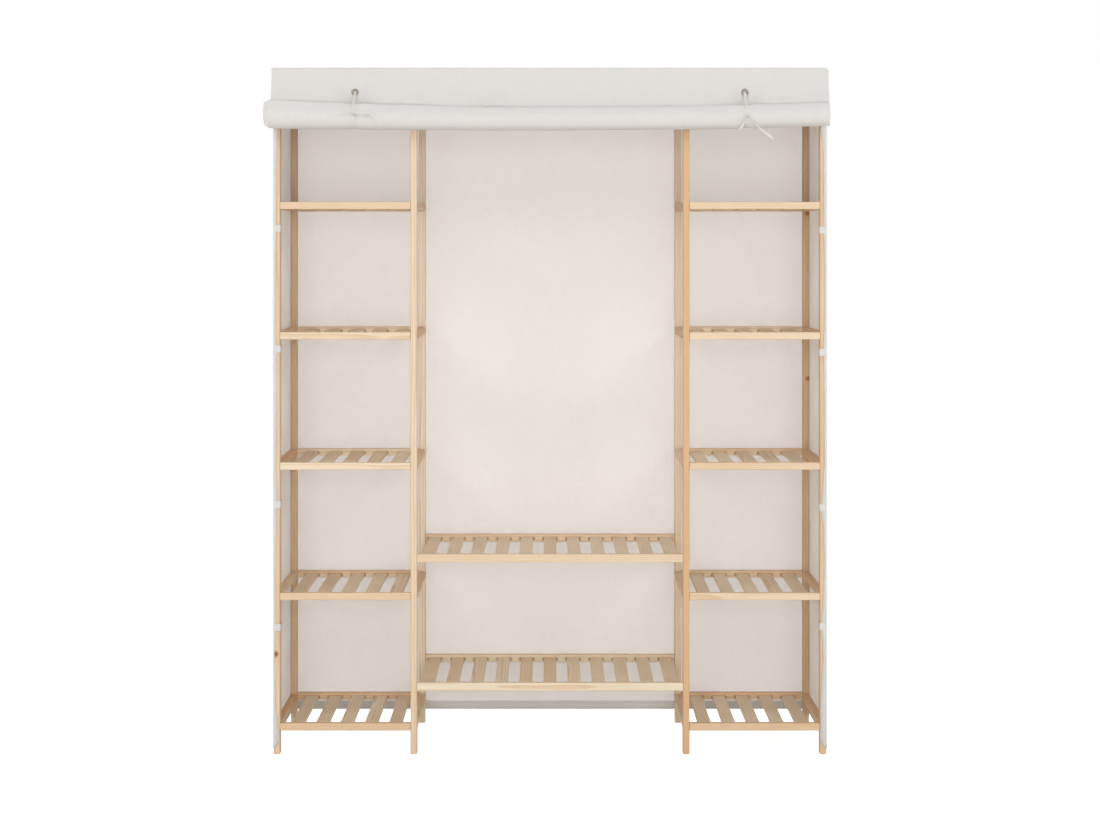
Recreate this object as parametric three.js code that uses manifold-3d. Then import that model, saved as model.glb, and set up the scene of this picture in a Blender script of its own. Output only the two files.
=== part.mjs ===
// Portable fabric wardrobe. A pine frame of two slatted shelf towers with a hanging bay between
// them stands inside a sewn white cover, whose front flap is rolled up and tied.
// Millimetres, +Z up. The front faces -Y, and the origin is on the floor under the middle.

import * as THREE from 'three';
import { mergeVertices } from 'three/addons/utils/BufferGeometryUtils.js';
import Module from 'manifold-3d';

const wasm = await Module();
wasm.setup();

// Driving dimensions of the frame
const frameWidth = 1351.2; // over the outer posts
const frameDepth = 390; // over the front and back posts
const sideBayWidth = 319; // clear width inside a shelf tower
const firstShelfTop = 76; // floor to the top of the lowest shelf rail
const shelfPitch = 318.6; // from one side shelf to the next, and on to the top frame
const sideShelfCount = 5;
const lowerMiddleTop = 175; // floor to the top of the lower middle shelf
const upperMiddleTop = 489.4;

// Timber sections
const postWidth = 15.6;
const postDepth = 30;
const rungHeight = 18;
const topRailHeight = 18;
const topRailDepth = 18;
const sideRailHeight = 18;
const middleRailHeight = 20;
const shelfRailDepth = 17;
const easedEdge = 2; // radius worked on the long edges
const footChamfer = 1.5;
const woodGap = 0.3; // between timbers that butt together

// Slats and their mortises
const slatWidth = 32;
const slatThickness = 8;
const slatPitch = 60;
const slatDrop = 7; // slat tops below the rail tops
const mortiseDepth = 9;
const mortisePlay = 0.2;
const mortiseWall = 3; // wood kept between the last mortise and the rail's end
const glueBite = 1.5; // the slat's end reaches this far past the mortise floor

// Hanging rail and the two bearers that hold its ends
const hangingRailDiameter = 25;
const hangingRailDrop = 36; // post tops to the rail's axis
const bearerHeight = 60;
const socketDepth = 10;
const socketClearance = 0.5; // all round the rail, which turns in its sockets
const railEndClearance = 0.5;

// Cover cloth
const clothThickness = 1.2;
const clothGap = 0.4; // between cloth and timber
const seamRise = 7; // the seams stand this far above the top frame
const seamRun = 30; // over which the top panel climbs to its seams
const topSag = 10; // between the front and back top rails
const sagFullness = 0.25; // the lower, the nearer to the ends the top panel sags fully
const sideSag = 9; // between two posts and two rungs
const backBillow = 3; // between two posts and two shelves
const sideHemHeight = 24; // floor to the lower edge of a side panel
const backHemHeight = 30;
const hemWrap = 10; // the side panel's front hem, turned round the post
const hemWave = 2.5;

// Sewn tabs that hold each side panel to its front post
const tabShares = [0.738, 1.664, 2.859, 3.789]; // of the shelf pitch, above the lowest shelf
const tabHeight = 17;
const tabThickness = 1.6;

// Front flap, rolled up outwards from its lower end
const flapThickness = 2.4;
const flapStandoff = 3.2; // back of the flap to the front of the posts
const flapOverhang = 4.4; // past the outer posts, each side
const rollOverhang = 7; // past the flap's own edges, each side
const rollDiameter = 65.6;
const rollSlim = 5; // how much thinner the roll is at its middle
const rollDrop = 114; // top of the cover to the roll's axis at its ends
const rollSag = 11; // of that axis at the middle
const rollTurns = 2.75;
const turnPitch = 5; // from one turn of the roll to the next

// Eyelets and ties
const eyeletInset = 204; // from the side edges of the flap
const eyeletDrop = 60; // top of the cover to the eyelets
const eyeletDiameter = 18;
const eyeletHole = 9;
const eyeletBarrel = 10.4;
const eyeletPlate = 0.9;
const eyeletWasherDiameter = 16.5;
const eyeletWasher = 0.6;
const trimGap = 0.3; // between the eyelet, the cloth and the tie
const tapeWidth = 6;
const tapeThickness = 1;
const tieClearance = 0.5; // between the tie and the cloth that it holds
const knotWidth = 11;
const knotHeight = 9;
const knotDepth = 5;
const knotDrop = 5; // of the knot below the roll's axis
const knotSeatShare = 0.4; // of the knot's height, from its middle to the tape on either side
const liftOffShare = 0.28; // of a turn round the roll, where the tape leaves it for the eyelet

// How finely round forms are drawn
const cornerSteps = 1;
const mortiseSteps = 2;
const rodSides = 24;
const socketSides = 32;
const eyeletSides = 12;
const tieSteps = 7;
const knotFacets = 10;
const turnSteps = 14;
const flapStations = 9;
const topWidthSteps = 10;
const topDepthSteps = 6;
const baySteps = 4;
const sideSteps = 6;
const cornerFacets = 2;
const backSteps = 6;

// Sizes that follow from these
const halfWidth = frameWidth / 2;
const halfDepth = frameDepth / 2;
const outerPostX = halfWidth - postWidth / 2;
const innerPostX = outerPostX - postWidth - sideBayWidth;
const sideBayX = (outerPostX + innerPostX) / 2;
const middleBayWidth = 2 * innerPostX - postWidth;
const postY = halfDepth - postDepth / 2;
const topFrameTop = firstShelfTop + sideShelfCount * shelfPitch;
const postTop = topFrameTop - topRailHeight - woodGap;
const coverTop = topFrameTop + clothGap + clothThickness + seamRise;
const flapBackY = -halfDepth - flapStandoff;
const flapHalfWidth = halfWidth + flapOverhang;
const railAxisZ = postTop - hangingRailDrop;

// Finishes
const pine = { color: '#e5ceb1', roughness: 0.62, metalness: 0 };
const canvas = { color: '#e4e4e1', roughness: 0.92, metalness: 0 };
const tape = { color: '#ecebe7', roughness: 0.9, metalness: 0 };
const nickel = { color: '#a8a59e', roughness: 0.35, metalness: 1 };

const wardrobe = new THREE.Group();

function addPiece(name, geometry, finish, x = 0, y = 0, z = 0) {
  const piece = new THREE.Mesh(geometry, new THREE.MeshStandardMaterial(finish));
  piece.name = name;
  piece.position.set(x, y, z);
  wardrobe.add(piece);
  return piece;
}

// Joining and cutting closed bodies
function toSolid(geometry) {
  const bare = geometry.clone();
  bare.deleteAttribute('normal');
  bare.deleteAttribute('uv');
  const merged = mergeVertices(bare);
  return new wasm.Manifold(new wasm.Mesh({
    numProp: 3,
    vertProperties: new Float32Array(merged.attributes.position.array),
    triVerts: new Uint32Array(merged.index.array),
  }));
}

function toGeometry(solid) {
  const mesh = solid.getMesh();
  const geometry = new THREE.BufferGeometry();
  geometry.setAttribute('position', new THREE.BufferAttribute(mesh.vertProperties, 3));
  geometry.setIndex(new THREE.BufferAttribute(mesh.triVerts, 1));
  return geometry;
}

// A rectangle about the origin with rounded corners
function easedRectangle(width, depth) {
  const radius = Math.min(easedEdge, width / 4, depth / 4);
  const right = width / 2 - radius;
  const top = depth / 2 - radius;
  const section = new THREE.Shape();
  section.absarc(right, top, radius, 0, Math.PI / 2);
  section.absarc(-right, top, radius, Math.PI / 2, Math.PI);
  section.absarc(-right, -top, radius, Math.PI, Math.PI * 1.5);
  section.absarc(right, -top, radius, Math.PI * 1.5, Math.PI * 2);
  return section;
}

// A timber of eased section, along Z from the origin
function timber(length, width, depth, chamfer = 0) {
  const geometry = new THREE.ExtrudeGeometry(easedRectangle(width, depth), {
    depth: length - 2 * chamfer,
    curveSegments: cornerSteps,
    bevelEnabled: chamfer > 0,
    bevelThickness: chamfer,
    bevelSize: chamfer,
    bevelOffset: -chamfer,
    bevelSegments: 1,
  });
  return geometry.translate(0, 0, chamfer);
}

// The same timber laid along X or along Y, with its middle at the origin
function timberAlongX(length, depth, height) {
  return timber(length, height, depth).translate(0, 0, -length / 2).rotateY(Math.PI / 2);
}

function timberAlongY(length, width, height) {
  return timber(length, width, height).translate(0, 0, -length / 2).rotateX(Math.PI / 2);
}

// A closed sheet of cloth. Each station holds two lines of points, one on either face.
function sheet(stations) {
  const count = stations[0].outer.length;
  const points = stations.flatMap((station) => [...station.outer, ...station.inner]);
  const at = (station, face, point) => (2 * station + face) * count + point;
  const faces = [];
  const quad = (a, b, c, d) => faces.push(a, b, c, a, c, d);
  const lastStation = stations.length - 1;
  const lastPoint = count - 1;
  for (let s = 0; s < lastStation; s += 1) {
    for (let p = 0; p < lastPoint; p += 1) {
      quad(at(s, 0, p), at(s, 0, p + 1), at(s + 1, 0, p + 1), at(s + 1, 0, p));
      quad(at(s, 1, p), at(s + 1, 1, p), at(s + 1, 1, p + 1), at(s, 1, p + 1));
    }
    quad(at(s, 0, 0), at(s + 1, 0, 0), at(s + 1, 1, 0), at(s, 1, 0));
    quad(at(s, 0, lastPoint), at(s, 1, lastPoint), at(s + 1, 1, lastPoint), at(s + 1, 0, lastPoint));
  }
  for (let p = 0; p < lastPoint; p += 1) {
    quad(at(0, 0, p), at(0, 1, p), at(0, 1, p + 1), at(0, 0, p + 1));
    quad(at(lastStation, 0, p), at(lastStation, 0, p + 1), at(lastStation, 1, p + 1), at(lastStation, 1, p));
  }
  if (enclosedVolume(points, faces) < 0) {
    faces.reverse();
  }
  const geometry = new THREE.BufferGeometry().setFromPoints(points);
  geometry.setIndex(faces);
  return geometry;
}

function enclosedVolume(points, faces) {
  let sixfold = 0;
  const across = new THREE.Vector3();
  for (let f = 0; f < faces.length; f += 3) {
    across.crossVectors(points[faces[f + 1]], points[faces[f + 2]]);
    sixfold += points[faces[f]].dot(across);
  }
  return sixfold / 6;
}

// A line of 2-D points moved sideways by a distance, with mitred corners
function sideLine(points, distance) {
  return points.map((point, index) => {
    const before = points[Math.max(index - 1, 0)];
    const after = points[Math.min(index + 1, points.length - 1)];
    const arriving = new THREE.Vector2().subVectors(point, before).normalize();
    const leaving = new THREE.Vector2().subVectors(after, point).normalize();
    const along = new THREE.Vector2().addVectors(arriving, leaving).normalize();
    const straight = index > 0 ? arriving : leaving;
    const mitre = Math.max(along.dot(straight), Math.SQRT1_2);
    return new THREE.Vector2(-along.y, along.x).multiplyScalar(distance / mitre).add(point);
  });
}

// Shares that rise from 0 at both ends of a stretch to 1 at its middle, or to 0 outside it
function hump(value, from, to) {
  const share = THREE.MathUtils.clamp((value - from) / (to - from), 0, 1);
  return Math.sin(Math.PI * share) ** 2;
}

// Posts: four at the front and four at the back
const columns = {
  outer_left: -outerPostX,
  inner_left: -innerPostX,
  inner_right: innerPostX,
  outer_right: outerPostX,
};
for (const [row, y] of Object.entries({ front: -postY, back: postY })) {
  for (const [column, x] of Object.entries(columns)) {
    const post = timber(postTop, postWidth, postDepth, footChamfer);
    addPiece(`post_${row}_${column}`, post, pine, x, y, 0);
  }
}

// Rungs: each pair of posts is a ladder, with a rung at every shelf and one at the top
const rungLength = frameDepth - 2 * postDepth - 2 * woodGap;
const shelfTops = Array.from({ length: sideShelfCount }, (_, level) => firstShelfTop + level * shelfPitch);
const rungTops = [...shelfTops, postTop];

// A bearer is a deep top rung with a blind socket, open towards +X
function bearer() {
  const bar = timberAlongY(rungLength, postWidth, bearerHeight).translate(0, 0, -bearerHeight / 2);
  const socketRadius = hangingRailDiameter / 2 + socketClearance;
  const cutLength = postWidth;
  const socket = new THREE.CylinderGeometry(socketRadius, socketRadius, cutLength, socketSides);
  socket.rotateZ(Math.PI / 2);
  socket.translate(postWidth / 2 - socketDepth + cutLength / 2, 0, -hangingRailDrop);
  return toGeometry(toSolid(bar).subtract(toSolid(socket)));
}

for (const [column, x] of Object.entries(columns)) {
  rungTops.forEach((top, level) => {
    const isBearer = column.startsWith('inner') && top === postTop;
    if (isBearer) {
      const side = x < 0 ? 'left' : 'right';
      const piece = addPiece(`rail_bearer_${side}`, bearer(), pine, x, 0, top);
      piece.rotation.z = x < 0 ? 0 : Math.PI;
    } else {
      const rung = timberAlongY(rungLength, postWidth, rungHeight);
      addPiece(`rung_${column}_${level + 1}`, rung, pine, x, 0, top - rungHeight / 2);
    }
  });
}

// Top rails cap the posts, cut short at each end by the posts' eased edge
const topRailY = halfDepth - topRailDepth / 2;
for (const [row, y] of Object.entries({ front: -topRailY, back: topRailY })) {
  const rail = timberAlongX(frameWidth - 2 * easedEdge, topRailDepth, topRailHeight);
  addPiece(`top_rail_${row}`, rail, pine, 0, y, topFrameTop - topRailHeight / 2);
}

// Hanging rail: a turned dowel whose ends lie in the bearers' sockets
const hangingRailLength = middleBayWidth + 2 * (socketDepth - railEndClearance);
const dowelRadius = hangingRailDiameter / 2;
const dowel = new THREE.CylinderGeometry(dowelRadius, dowelRadius, hangingRailLength, rodSides);
addPiece('hanging_rail', dowel.rotateZ(Math.PI / 2), pine, 0, 0, railAxisZ);

// A slot with half-round ends, cut along Y into the inner face of a shelf rail
function mortise(depth) {
  const radius = slatThickness / 2 + mortisePlay;
  const slot = new THREE.Shape();
  slot.absarc(slatWidth / 2, 0, radius, -Math.PI / 2, Math.PI / 2);
  slot.absarc(-slatWidth / 2, 0, radius, Math.PI / 2, Math.PI * 1.5);
  const cut = new THREE.ExtrudeGeometry(slot, { depth, curveSegments: mortiseSteps, bevelEnabled: false });
  return cut.translate(0, 0, -depth / 2).rotateX(Math.PI / 2);
}

// Slatted shelf: two rails with routed mortises, and slats glued in from front to back.
// The origin is at the middle, level with the rail tops.
function slattedShelf(bayWidth, railHeight) {
  const railY = halfDepth - shelfRailDepth / 2;
  const rail = toSolid(timberAlongX(bayWidth - 2 * woodGap, shelfRailDepth, railHeight));
  const innerFaceY = halfDepth - shelfRailDepth;
  const slatLength = 2 * (innerFaceY + mortiseDepth + glueBite);
  const slatZ = -slatDrop - slatThickness / 2;
  const slat = toSolid(new THREE.BoxGeometry(slatWidth, slatLength, slatThickness));
  const cut = toSolid(mortise(2 * mortiseDepth));
  const endRoom = slatThickness / 2 + mortisePlay + mortiseWall;
  const slatCount = 1 + Math.floor((bayWidth - slatWidth - 2 * endRoom) / slatPitch);
  let shelf = rail.translate([0, -railY, -railHeight / 2]).add(rail.translate([0, railY, -railHeight / 2]));
  const slatX = Array.from({ length: slatCount }, (_, index) => (index - (slatCount - 1) / 2) * slatPitch);
  for (const x of slatX) {
    shelf = shelf.subtract(cut.translate([x, -innerFaceY, slatZ]));
    shelf = shelf.subtract(cut.translate([x, innerFaceY, slatZ]));
  }
  for (const x of slatX) {
    shelf = shelf.add(slat.translate([x, 0, slatZ]));
  }
  return toGeometry(shelf);
}

const sideShelf = slattedShelf(sideBayWidth, sideRailHeight);
for (const [side, x] of Object.entries({ left: -sideBayX, right: sideBayX })) {
  shelfTops.forEach((top, level) => {
    addPiece(`side_shelf_${side}_${level + 1}`, sideShelf.clone(), pine, x, 0, top);
  });
}
const middleShelf = slattedShelf(middleBayWidth, middleRailHeight);
addPiece('middle_shelf_lower', middleShelf, pine, 0, 0, lowerMiddleTop);
addPiece('middle_shelf_upper', middleShelf.clone(), pine, 0, 0, upperMiddleTop);

// Cover: the clear bays between rungs, where the cloth may leave the timbers
const bays = rungTops.slice(1).map((top, index) => ({ from: rungTops[index], to: top - rungHeight }));
const bayLevels = bays.flatMap(({ from, to }) => (
  Array.from({ length: baySteps + 1 }, (_, step) => THREE.MathUtils.lerp(from, to, step / baySteps))));
const looseness = (z) => Math.max(...bays.map(({ from, to }) => hump(z, from, to)));

// Side panel: hem turned round the front post, cloth drawn in between the posts, back seam.
// The plan is drawn for the right-hand side, as X and Y along the cloth's middle.
const clothMiddle = clothGap + clothThickness / 2;
function sidePlan(z) {
  const wrap = hemWrap + hemWave * Math.sin(Math.PI * 2 * (z / shelfPitch));
  const points = [new THREE.Vector2(halfWidth - wrap, -halfDepth - clothMiddle)];
  for (let step = 0; step <= cornerFacets; step += 1) {
    const turn = (Math.PI / 2) * (step / cornerFacets - 1);
    points.push(new THREE.Vector2(
      halfWidth - easedEdge + (easedEdge + clothMiddle) * Math.cos(turn),
      -halfDepth + easedEdge + (easedEdge + clothMiddle) * Math.sin(turn),
    ));
  }
  const from = -halfDepth + postDepth;
  const to = halfDepth - postDepth;
  for (let step = 0; step <= sideSteps; step += 1) {
    const y = THREE.MathUtils.lerp(from, to, step / sideSteps);
    points.push(new THREE.Vector2(halfWidth + clothMiddle - sideSag * hump(y, from, to) * looseness(z), y));
  }
  points.push(new THREE.Vector2(halfWidth + clothMiddle, halfDepth + clothGap + clothThickness));
  return points;
}

// Tab: a strip sewn to the side panel and closed round the front post
function tab(z) {
  const gap = clothGap;
  const reach = gap + tabThickness;
  const left = halfWidth - postWidth;
  const front = -halfDepth;
  const back = front + postDepth;
  const seam = halfWidth + clothMiddle;
  const strip = new THREE.Shape([
    new THREE.Vector2(halfWidth - easedEdge, front - reach),
    new THREE.Vector2(left, front - reach),
    new THREE.Vector2(left - reach, front),
    new THREE.Vector2(left - reach, back),
    new THREE.Vector2(left, back + reach),
    new THREE.Vector2(seam, back + reach),
    new THREE.Vector2(seam, back + gap),
    new THREE.Vector2(left, back + gap),
    new THREE.Vector2(left - gap, back),
    new THREE.Vector2(left - gap, front),
    new THREE.Vector2(left, front - gap),
    new THREE.Vector2(halfWidth - easedEdge, front - gap),
  ]);
  const geometry = new THREE.ExtrudeGeometry(strip, { depth: tabHeight, bevelEnabled: false });
  return geometry.translate(0, 0, z - tabHeight / 2);
}

const sidePanelTop = coverTop - clothThickness - clothGap;
const sideLevels = [sideHemHeight, ...bayLevels, sidePanelTop];
const sideStations = sideLevels.map((z) => {
  const plan = sidePlan(z);
  const lift = (line) => line.map((point) => new THREE.Vector3(point.x, point.y, z));
  return {
    outer: lift(sideLine(plan, -clothThickness / 2)),
    inner: lift(sideLine(plan, clothThickness / 2)),
  };
});
let sidePanel = toSolid(sheet(sideStations));
for (const share of tabShares) {
  sidePanel = sidePanel.add(toSolid(tab(firstShelfTop + share * shelfPitch)));
}
addPiece('cover_side_right', toGeometry(sidePanel), canvas);
addPiece('cover_side_left', toGeometry(sidePanel.mirror([1, 0, 0])), canvas);

// Back panel: it hangs against the back posts and billows a little between them
const backHalfWidth = halfWidth + clothGap - trimGap;
const backPostEdges = [-halfWidth, -innerPostX, innerPostX, halfWidth];
const backBays = backPostEdges.slice(1).map((to, index) => ({ from: backPostEdges[index], to }));
const backLine = backBays.flatMap(({ from, to }) => (
  Array.from({ length: backSteps }, (_, step) => THREE.MathUtils.lerp(from, to, step / backSteps))));
backLine[0] = -backHalfWidth;
backLine.push(backHalfWidth);
function backBulge(x, z) {
  const across = Math.max(...backBays.map(({ from, to }) => hump(x, from, to)));
  return backBillow * across * looseness(z);
}
const backLevels = [backHemHeight, ...bayLevels.filter((_, index) => index % 2 === 0), sidePanelTop];
const backStations = backLevels.map((z) => {
  const y = halfDepth + clothGap;
  const face = (offset) => backLine.map((x) => new THREE.Vector3(x, y + offset + backBulge(x, z), z));
  return { outer: face(clothThickness), inner: face(0) };
});
addPiece('cover_back', sheet(backStations), canvas);

// Top panel: it lies on the top rails, sags between them and climbs to its seams
const topHalfWidth = halfWidth + clothGap + clothThickness;
const topFrontY = flapBackY + trimGap;
const topBackY = halfDepth + clothGap + clothThickness;
function topHeight(x, y) {
  const inFromSeam = Math.max(Math.min(halfWidth - Math.abs(x), halfDepth - Math.abs(y)), 0);
  const climb = Math.max(1 - inFromSeam / seamRun, 0) ** 2;
  const innerEdge = halfDepth - topRailDepth;
  const sag = topSag * hump(y, -innerEdge, innerEdge) * hump(x, -halfWidth, halfWidth) ** sagFullness;
  return topFrameTop + clothGap + seamRise * climb - sag;
}

// Lines across the top panel: its edge, the frame's face, the climb and the panel between
function topLines(low, high, half, steps) {
  const inner = half - seamRun;
  const between = Array.from({ length: steps - 1 }, (_, step) => (2 * inner * (step + 1)) / steps - inner);
  const climb = [0, seamRun / 2, seamRun];
  const rising = climb.map((run) => run - half);
  const falling = climb.reverse().map((run) => half - run);
  return [low, ...rising, ...between, ...falling, high];
}
const topDepthLines = topLines(topFrontY, topBackY, halfDepth, topDepthSteps);
const topStations = topLines(-topHalfWidth, topHalfWidth, halfWidth, topWidthSteps).map((x) => {
  const face = (offset) => topDepthLines.map((y) => new THREE.Vector3(x, y, topHeight(x, y) + offset));
  return { outer: face(clothThickness), inner: face(0) };
});
addPiece('cover_top', sheet(topStations), canvas);

// The roll's radius and axis where it crosses X
function rollAt(x) {
  const middle = 1 - (x / (flapHalfWidth + rollOverhang)) ** 2;
  const radius = (rollDiameter - rollSlim * middle) / 2;
  return { radius, y: flapBackY - radius, z: coverTop - rollDrop - rollSag * middle };
}

// Front flap: it drops from the top seam, passes behind the roll and winds up into it
function flapLine(x) {
  const roll = rollAt(x);
  const outerRadius = roll.radius - flapThickness / 2;
  const drop = flapBackY - flapThickness / 2;
  const line = [new THREE.Vector2(drop, coverTop), new THREE.Vector2(drop, coverTop - eyeletDrop)];
  const steps = Math.round(turnSteps * rollTurns);
  for (let step = 0; step <= steps; step += 1) {
    const turns = rollTurns * (step / steps);
    const radius = outerRadius - turnPitch * turns;
    const angle = -Math.PI * 2 * turns;
    line.push(new THREE.Vector2(roll.y + radius * Math.cos(angle), roll.z + radius * Math.sin(angle)));
  }
  return line;
}

const flapXShares = Array.from({ length: flapStations }, (_, index) => (2 * index) / (flapStations - 1) - 1);
const rollStart = 2; // points of the flap's line that lie above the roll
const flapSheetStations = flapXShares.map((share) => {
  const line = flapLine(share * (flapHalfWidth + rollOverhang));
  const place = (side) => side.map((point, index) => (
    new THREE.Vector3(share * (flapHalfWidth + (index < rollStart ? 0 : rollOverhang)), point.x, point.y)));
  return { outer: place(sideLine(line, flapThickness / 2)), inner: place(sideLine(line, -flapThickness / 2)) };
});
let flap = toSolid(sheet(flapSheetStations));
const eyeletX = flapHalfWidth - eyeletInset;
const eyeletZ = coverTop - eyeletDrop;
const flapHoleRadius = eyeletBarrel / 2 + trimGap;
const holeDepth = 2 * flapStandoff + flapThickness;
const flapHole = new THREE.CylinderGeometry(flapHoleRadius, flapHoleRadius, holeDepth, eyeletSides);
for (const x of [-eyeletX, eyeletX]) {
  flap = flap.subtract(toSolid(flapHole).translate([x, flapBackY, eyeletZ]));
}
addPiece('front_flap', toGeometry(flap), canvas);
console.log(`least gap between turns of the roll: ${leastTurnGap().toFixed(2)} mm`);

// The least distance between two turns of the roll, less the cloth's thickness
function leastTurnGap() {
  const line = flapLine(0).slice(rollStart);
  let least = Infinity;
  line.forEach((point, index) => {
    for (let other = index + turnSteps / 2; other < line.length; other += 1) {
      least = Math.min(least, point.distanceTo(line[other]) - flapThickness);
    }
  });
  return least;
}

// Eyelet: a rolled front plate, a barrel through the cloth and a back washer, about the Y axis
function eyelet() {
  const hole = eyeletHole / 2;
  const barrel = eyeletBarrel / 2;
  const plate = eyeletDiameter / 2;
  const washer = eyeletWasherDiameter / 2;
  const back = -flapThickness - trimGap;
  const profile = [
    [hole, back - eyeletWasher],
    [washer, back - eyeletWasher],
    [washer, back],
    [barrel, back],
    [barrel, trimGap],
    [plate, trimGap],
    [plate, trimGap + eyeletPlate / 2],
    [(plate + barrel) / 2, trimGap + eyeletPlate],
    [hole, trimGap + eyeletPlate / 2],
    [hole, back - eyeletWasher],
  ];
  const points = profile.map(([radius, height]) => new THREE.Vector2(radius, height));
  return new THREE.LatheGeometry(points, eyeletSides);
}

// Tie: a tape from the knot over the roll, through the eyelet, down behind the flap and up again.
// Angles are counted round the roll's axis from its back, as on the roll itself.
function tieLoop(x) {
  const roll = rollAt(x);
  const radius = roll.radius + tieClearance + tapeThickness / 2;
  const backY = flapBackY + trimGap + eyeletWasher + trimGap + tapeThickness / 2;
  const frontY = flapBackY - flapThickness - trimGap - eyeletPlate - trimGap - tapeThickness;
  const knotAngle = Math.PI + Math.asin(knotDrop / radius);
  const knotTurn = (knotHeight * knotSeatShare + trimGap) / radius;
  const arc = (from, to) => Array.from({ length: tieSteps + 1 }, (_, step) => {
    const angle = THREE.MathUtils.lerp(from, to, step / tieSteps);
    return new THREE.Vector2(roll.y + radius * Math.cos(angle), roll.z + radius * Math.sin(angle));
  });
  const line = [
    ...arc(knotAngle - knotTurn, Math.PI * 2 * liftOffShare),
    new THREE.Vector2(frontY, eyeletZ - eyeletHole / 4),
    new THREE.Vector2(frontY + tapeThickness, eyeletZ),
    new THREE.Vector2(backY - tapeThickness, eyeletZ),
    new THREE.Vector2(backY, eyeletZ - eyeletHole / 4),
    ...arc(0, knotAngle - 2 * Math.PI + knotTurn),
  ];
  const place = (side, edge) => side.map((point) => new THREE.Vector3(x + edge, point.x, point.y));
  return sheet([-tapeWidth / 2, tapeWidth / 2].map((edge) => ({
    outer: place(sideLine(line, tapeThickness / 2), edge),
    inner: place(sideLine(line, -tapeThickness / 2), edge),
  })));
}

// Free ends of a tie, as points right of, in front of and above the knot, chosen by hand
const tieEnds = {
  left: [
    [[0, 0, 0], [-11, -1, 1], [-23, -1, 0], [-37, 1, -5]],
    [[0, 0, 0], [12, -2, 1], [25, -3, -3], [38, -3, 2], [52, -1, -8], [66, 1, -20]],
  ],
  right: [
    [[0, 0, 0], [-4, -2, -9], [-11, -1, -22], [-18, 0, -34]],
    [[0, 0, 0], [10, -3, -9], [24, -3, -24], [40, -2, -38], [56, -1, -50], [62, 0, -56]],
  ],
};

// A tape along a hand-chosen route, its flat side to the front
function freeEnd(route) {
  const points = route.map(([right, front, up]) => new THREE.Vector3(right, front, up));
  const middle = points.map((point) => new THREE.Vector2(point.x, point.z));
  const edgeAt = (side) => {
    const flat = sideLine(middle, (side * tapeWidth) / 2);
    const face = (offset) => flat.map((point, index) => (
      new THREE.Vector3(point.x, points[index].y + offset, point.y)));
    return { outer: face(-tapeThickness / 2), inner: face(tapeThickness / 2) };
  };
  return sheet([edgeAt(-1), edgeAt(1)]);
}

for (const [side, x] of Object.entries({ left: -eyeletX, right: eyeletX })) {
  const piece = addPiece(`eyelet_${side}`, eyelet(), nickel, x, flapBackY - flapThickness, eyeletZ);
  piece.rotation.x = Math.PI;
  addPiece(`tie_band_${side}`, tieLoop(x), tape);
  const roll = rollAt(x);
  const knot = new THREE.SphereGeometry(1, knotFacets, knotFacets / 2);
  knot.scale(knotWidth / 2, knotDepth / 2, knotHeight / 2);
  const ends = tieEnds[side].map((route) => toSolid(freeEnd(route)));
  const knotAndEnds = toSolid(knot).add(ends[0]).add(ends[1]);
  const knotY = roll.y - roll.radius - tieClearance - knotDepth / 2;
  addPiece(`tie_ends_${side}`, toGeometry(knotAndEnds), tape, x, knotY, roll.z - knotDrop);
}

// The origin lies under the middle of everything but the ties' free ends
const body = new THREE.Box3();
wardrobe.updateMatrixWorld(true);
for (const piece of wardrobe.children) {
  if (!piece.name.startsWith('tie_ends')) {
    body.expandByObject(piece, true);
  }
}
wardrobe.position.y = -(body.min.y + body.max.y) / 2;

export default wardrobe;
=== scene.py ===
# Portable fabric wardrobe: four pine ladders carry slatted shelves and a hanging rail inside a sewn
# canvas cover, whose front is rolled up and tied. Metres, +Z up, the open front faces -Y.

import math
import random

import bpy
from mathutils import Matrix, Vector, noise


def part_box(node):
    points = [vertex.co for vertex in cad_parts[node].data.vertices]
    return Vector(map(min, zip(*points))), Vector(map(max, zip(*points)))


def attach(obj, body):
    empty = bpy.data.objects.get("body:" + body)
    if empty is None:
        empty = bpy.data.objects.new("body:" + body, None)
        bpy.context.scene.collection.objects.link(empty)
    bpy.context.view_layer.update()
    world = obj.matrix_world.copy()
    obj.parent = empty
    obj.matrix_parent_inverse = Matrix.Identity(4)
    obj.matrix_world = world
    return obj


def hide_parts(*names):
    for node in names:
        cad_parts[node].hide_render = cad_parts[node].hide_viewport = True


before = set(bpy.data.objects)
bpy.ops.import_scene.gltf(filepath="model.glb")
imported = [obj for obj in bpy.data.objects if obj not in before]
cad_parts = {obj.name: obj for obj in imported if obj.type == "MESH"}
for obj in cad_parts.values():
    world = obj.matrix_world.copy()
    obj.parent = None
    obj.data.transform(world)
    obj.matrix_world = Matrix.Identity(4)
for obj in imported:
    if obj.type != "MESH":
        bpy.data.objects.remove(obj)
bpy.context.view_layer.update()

# Places that everything is set against, from the frame
postLow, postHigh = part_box("post_front_outer_right")
innerLow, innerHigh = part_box("post_front_inner_right")
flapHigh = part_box("front_flap")[1]
topLow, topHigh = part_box("cover_top")
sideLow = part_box("cover_side_right")[0]
backLow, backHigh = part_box("cover_back")
eyeletLow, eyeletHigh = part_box("eyelet_right")
halfWidth = postHigh.x
postDepth = postHigh.y - postLow.y
frontY = postLow.y
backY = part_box("post_back_outer_right")[1].y
coverTop = flapHigh.z
flapBack = flapHigh.y
eyeletX = (eyeletLow.x + eyeletHigh.x) / 2
eyeletZ = (eyeletLow.z + eyeletHigh.z) / 2
rungBoxes = [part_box(f"rung_outer_right_{level}") for level in range(1, 7)]


# Small helpers

def linear(code):
    # an sRGB hex colour as linear red, green, blue and alpha
    channels = [int(code[i:i + 2], 16) / 255 for i in (1, 3, 5)]
    return [c / 12.92 if c <= 0.04045 else ((c + 0.055) / 1.055) ** 2.4 for c in channels] + [1]


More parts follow.
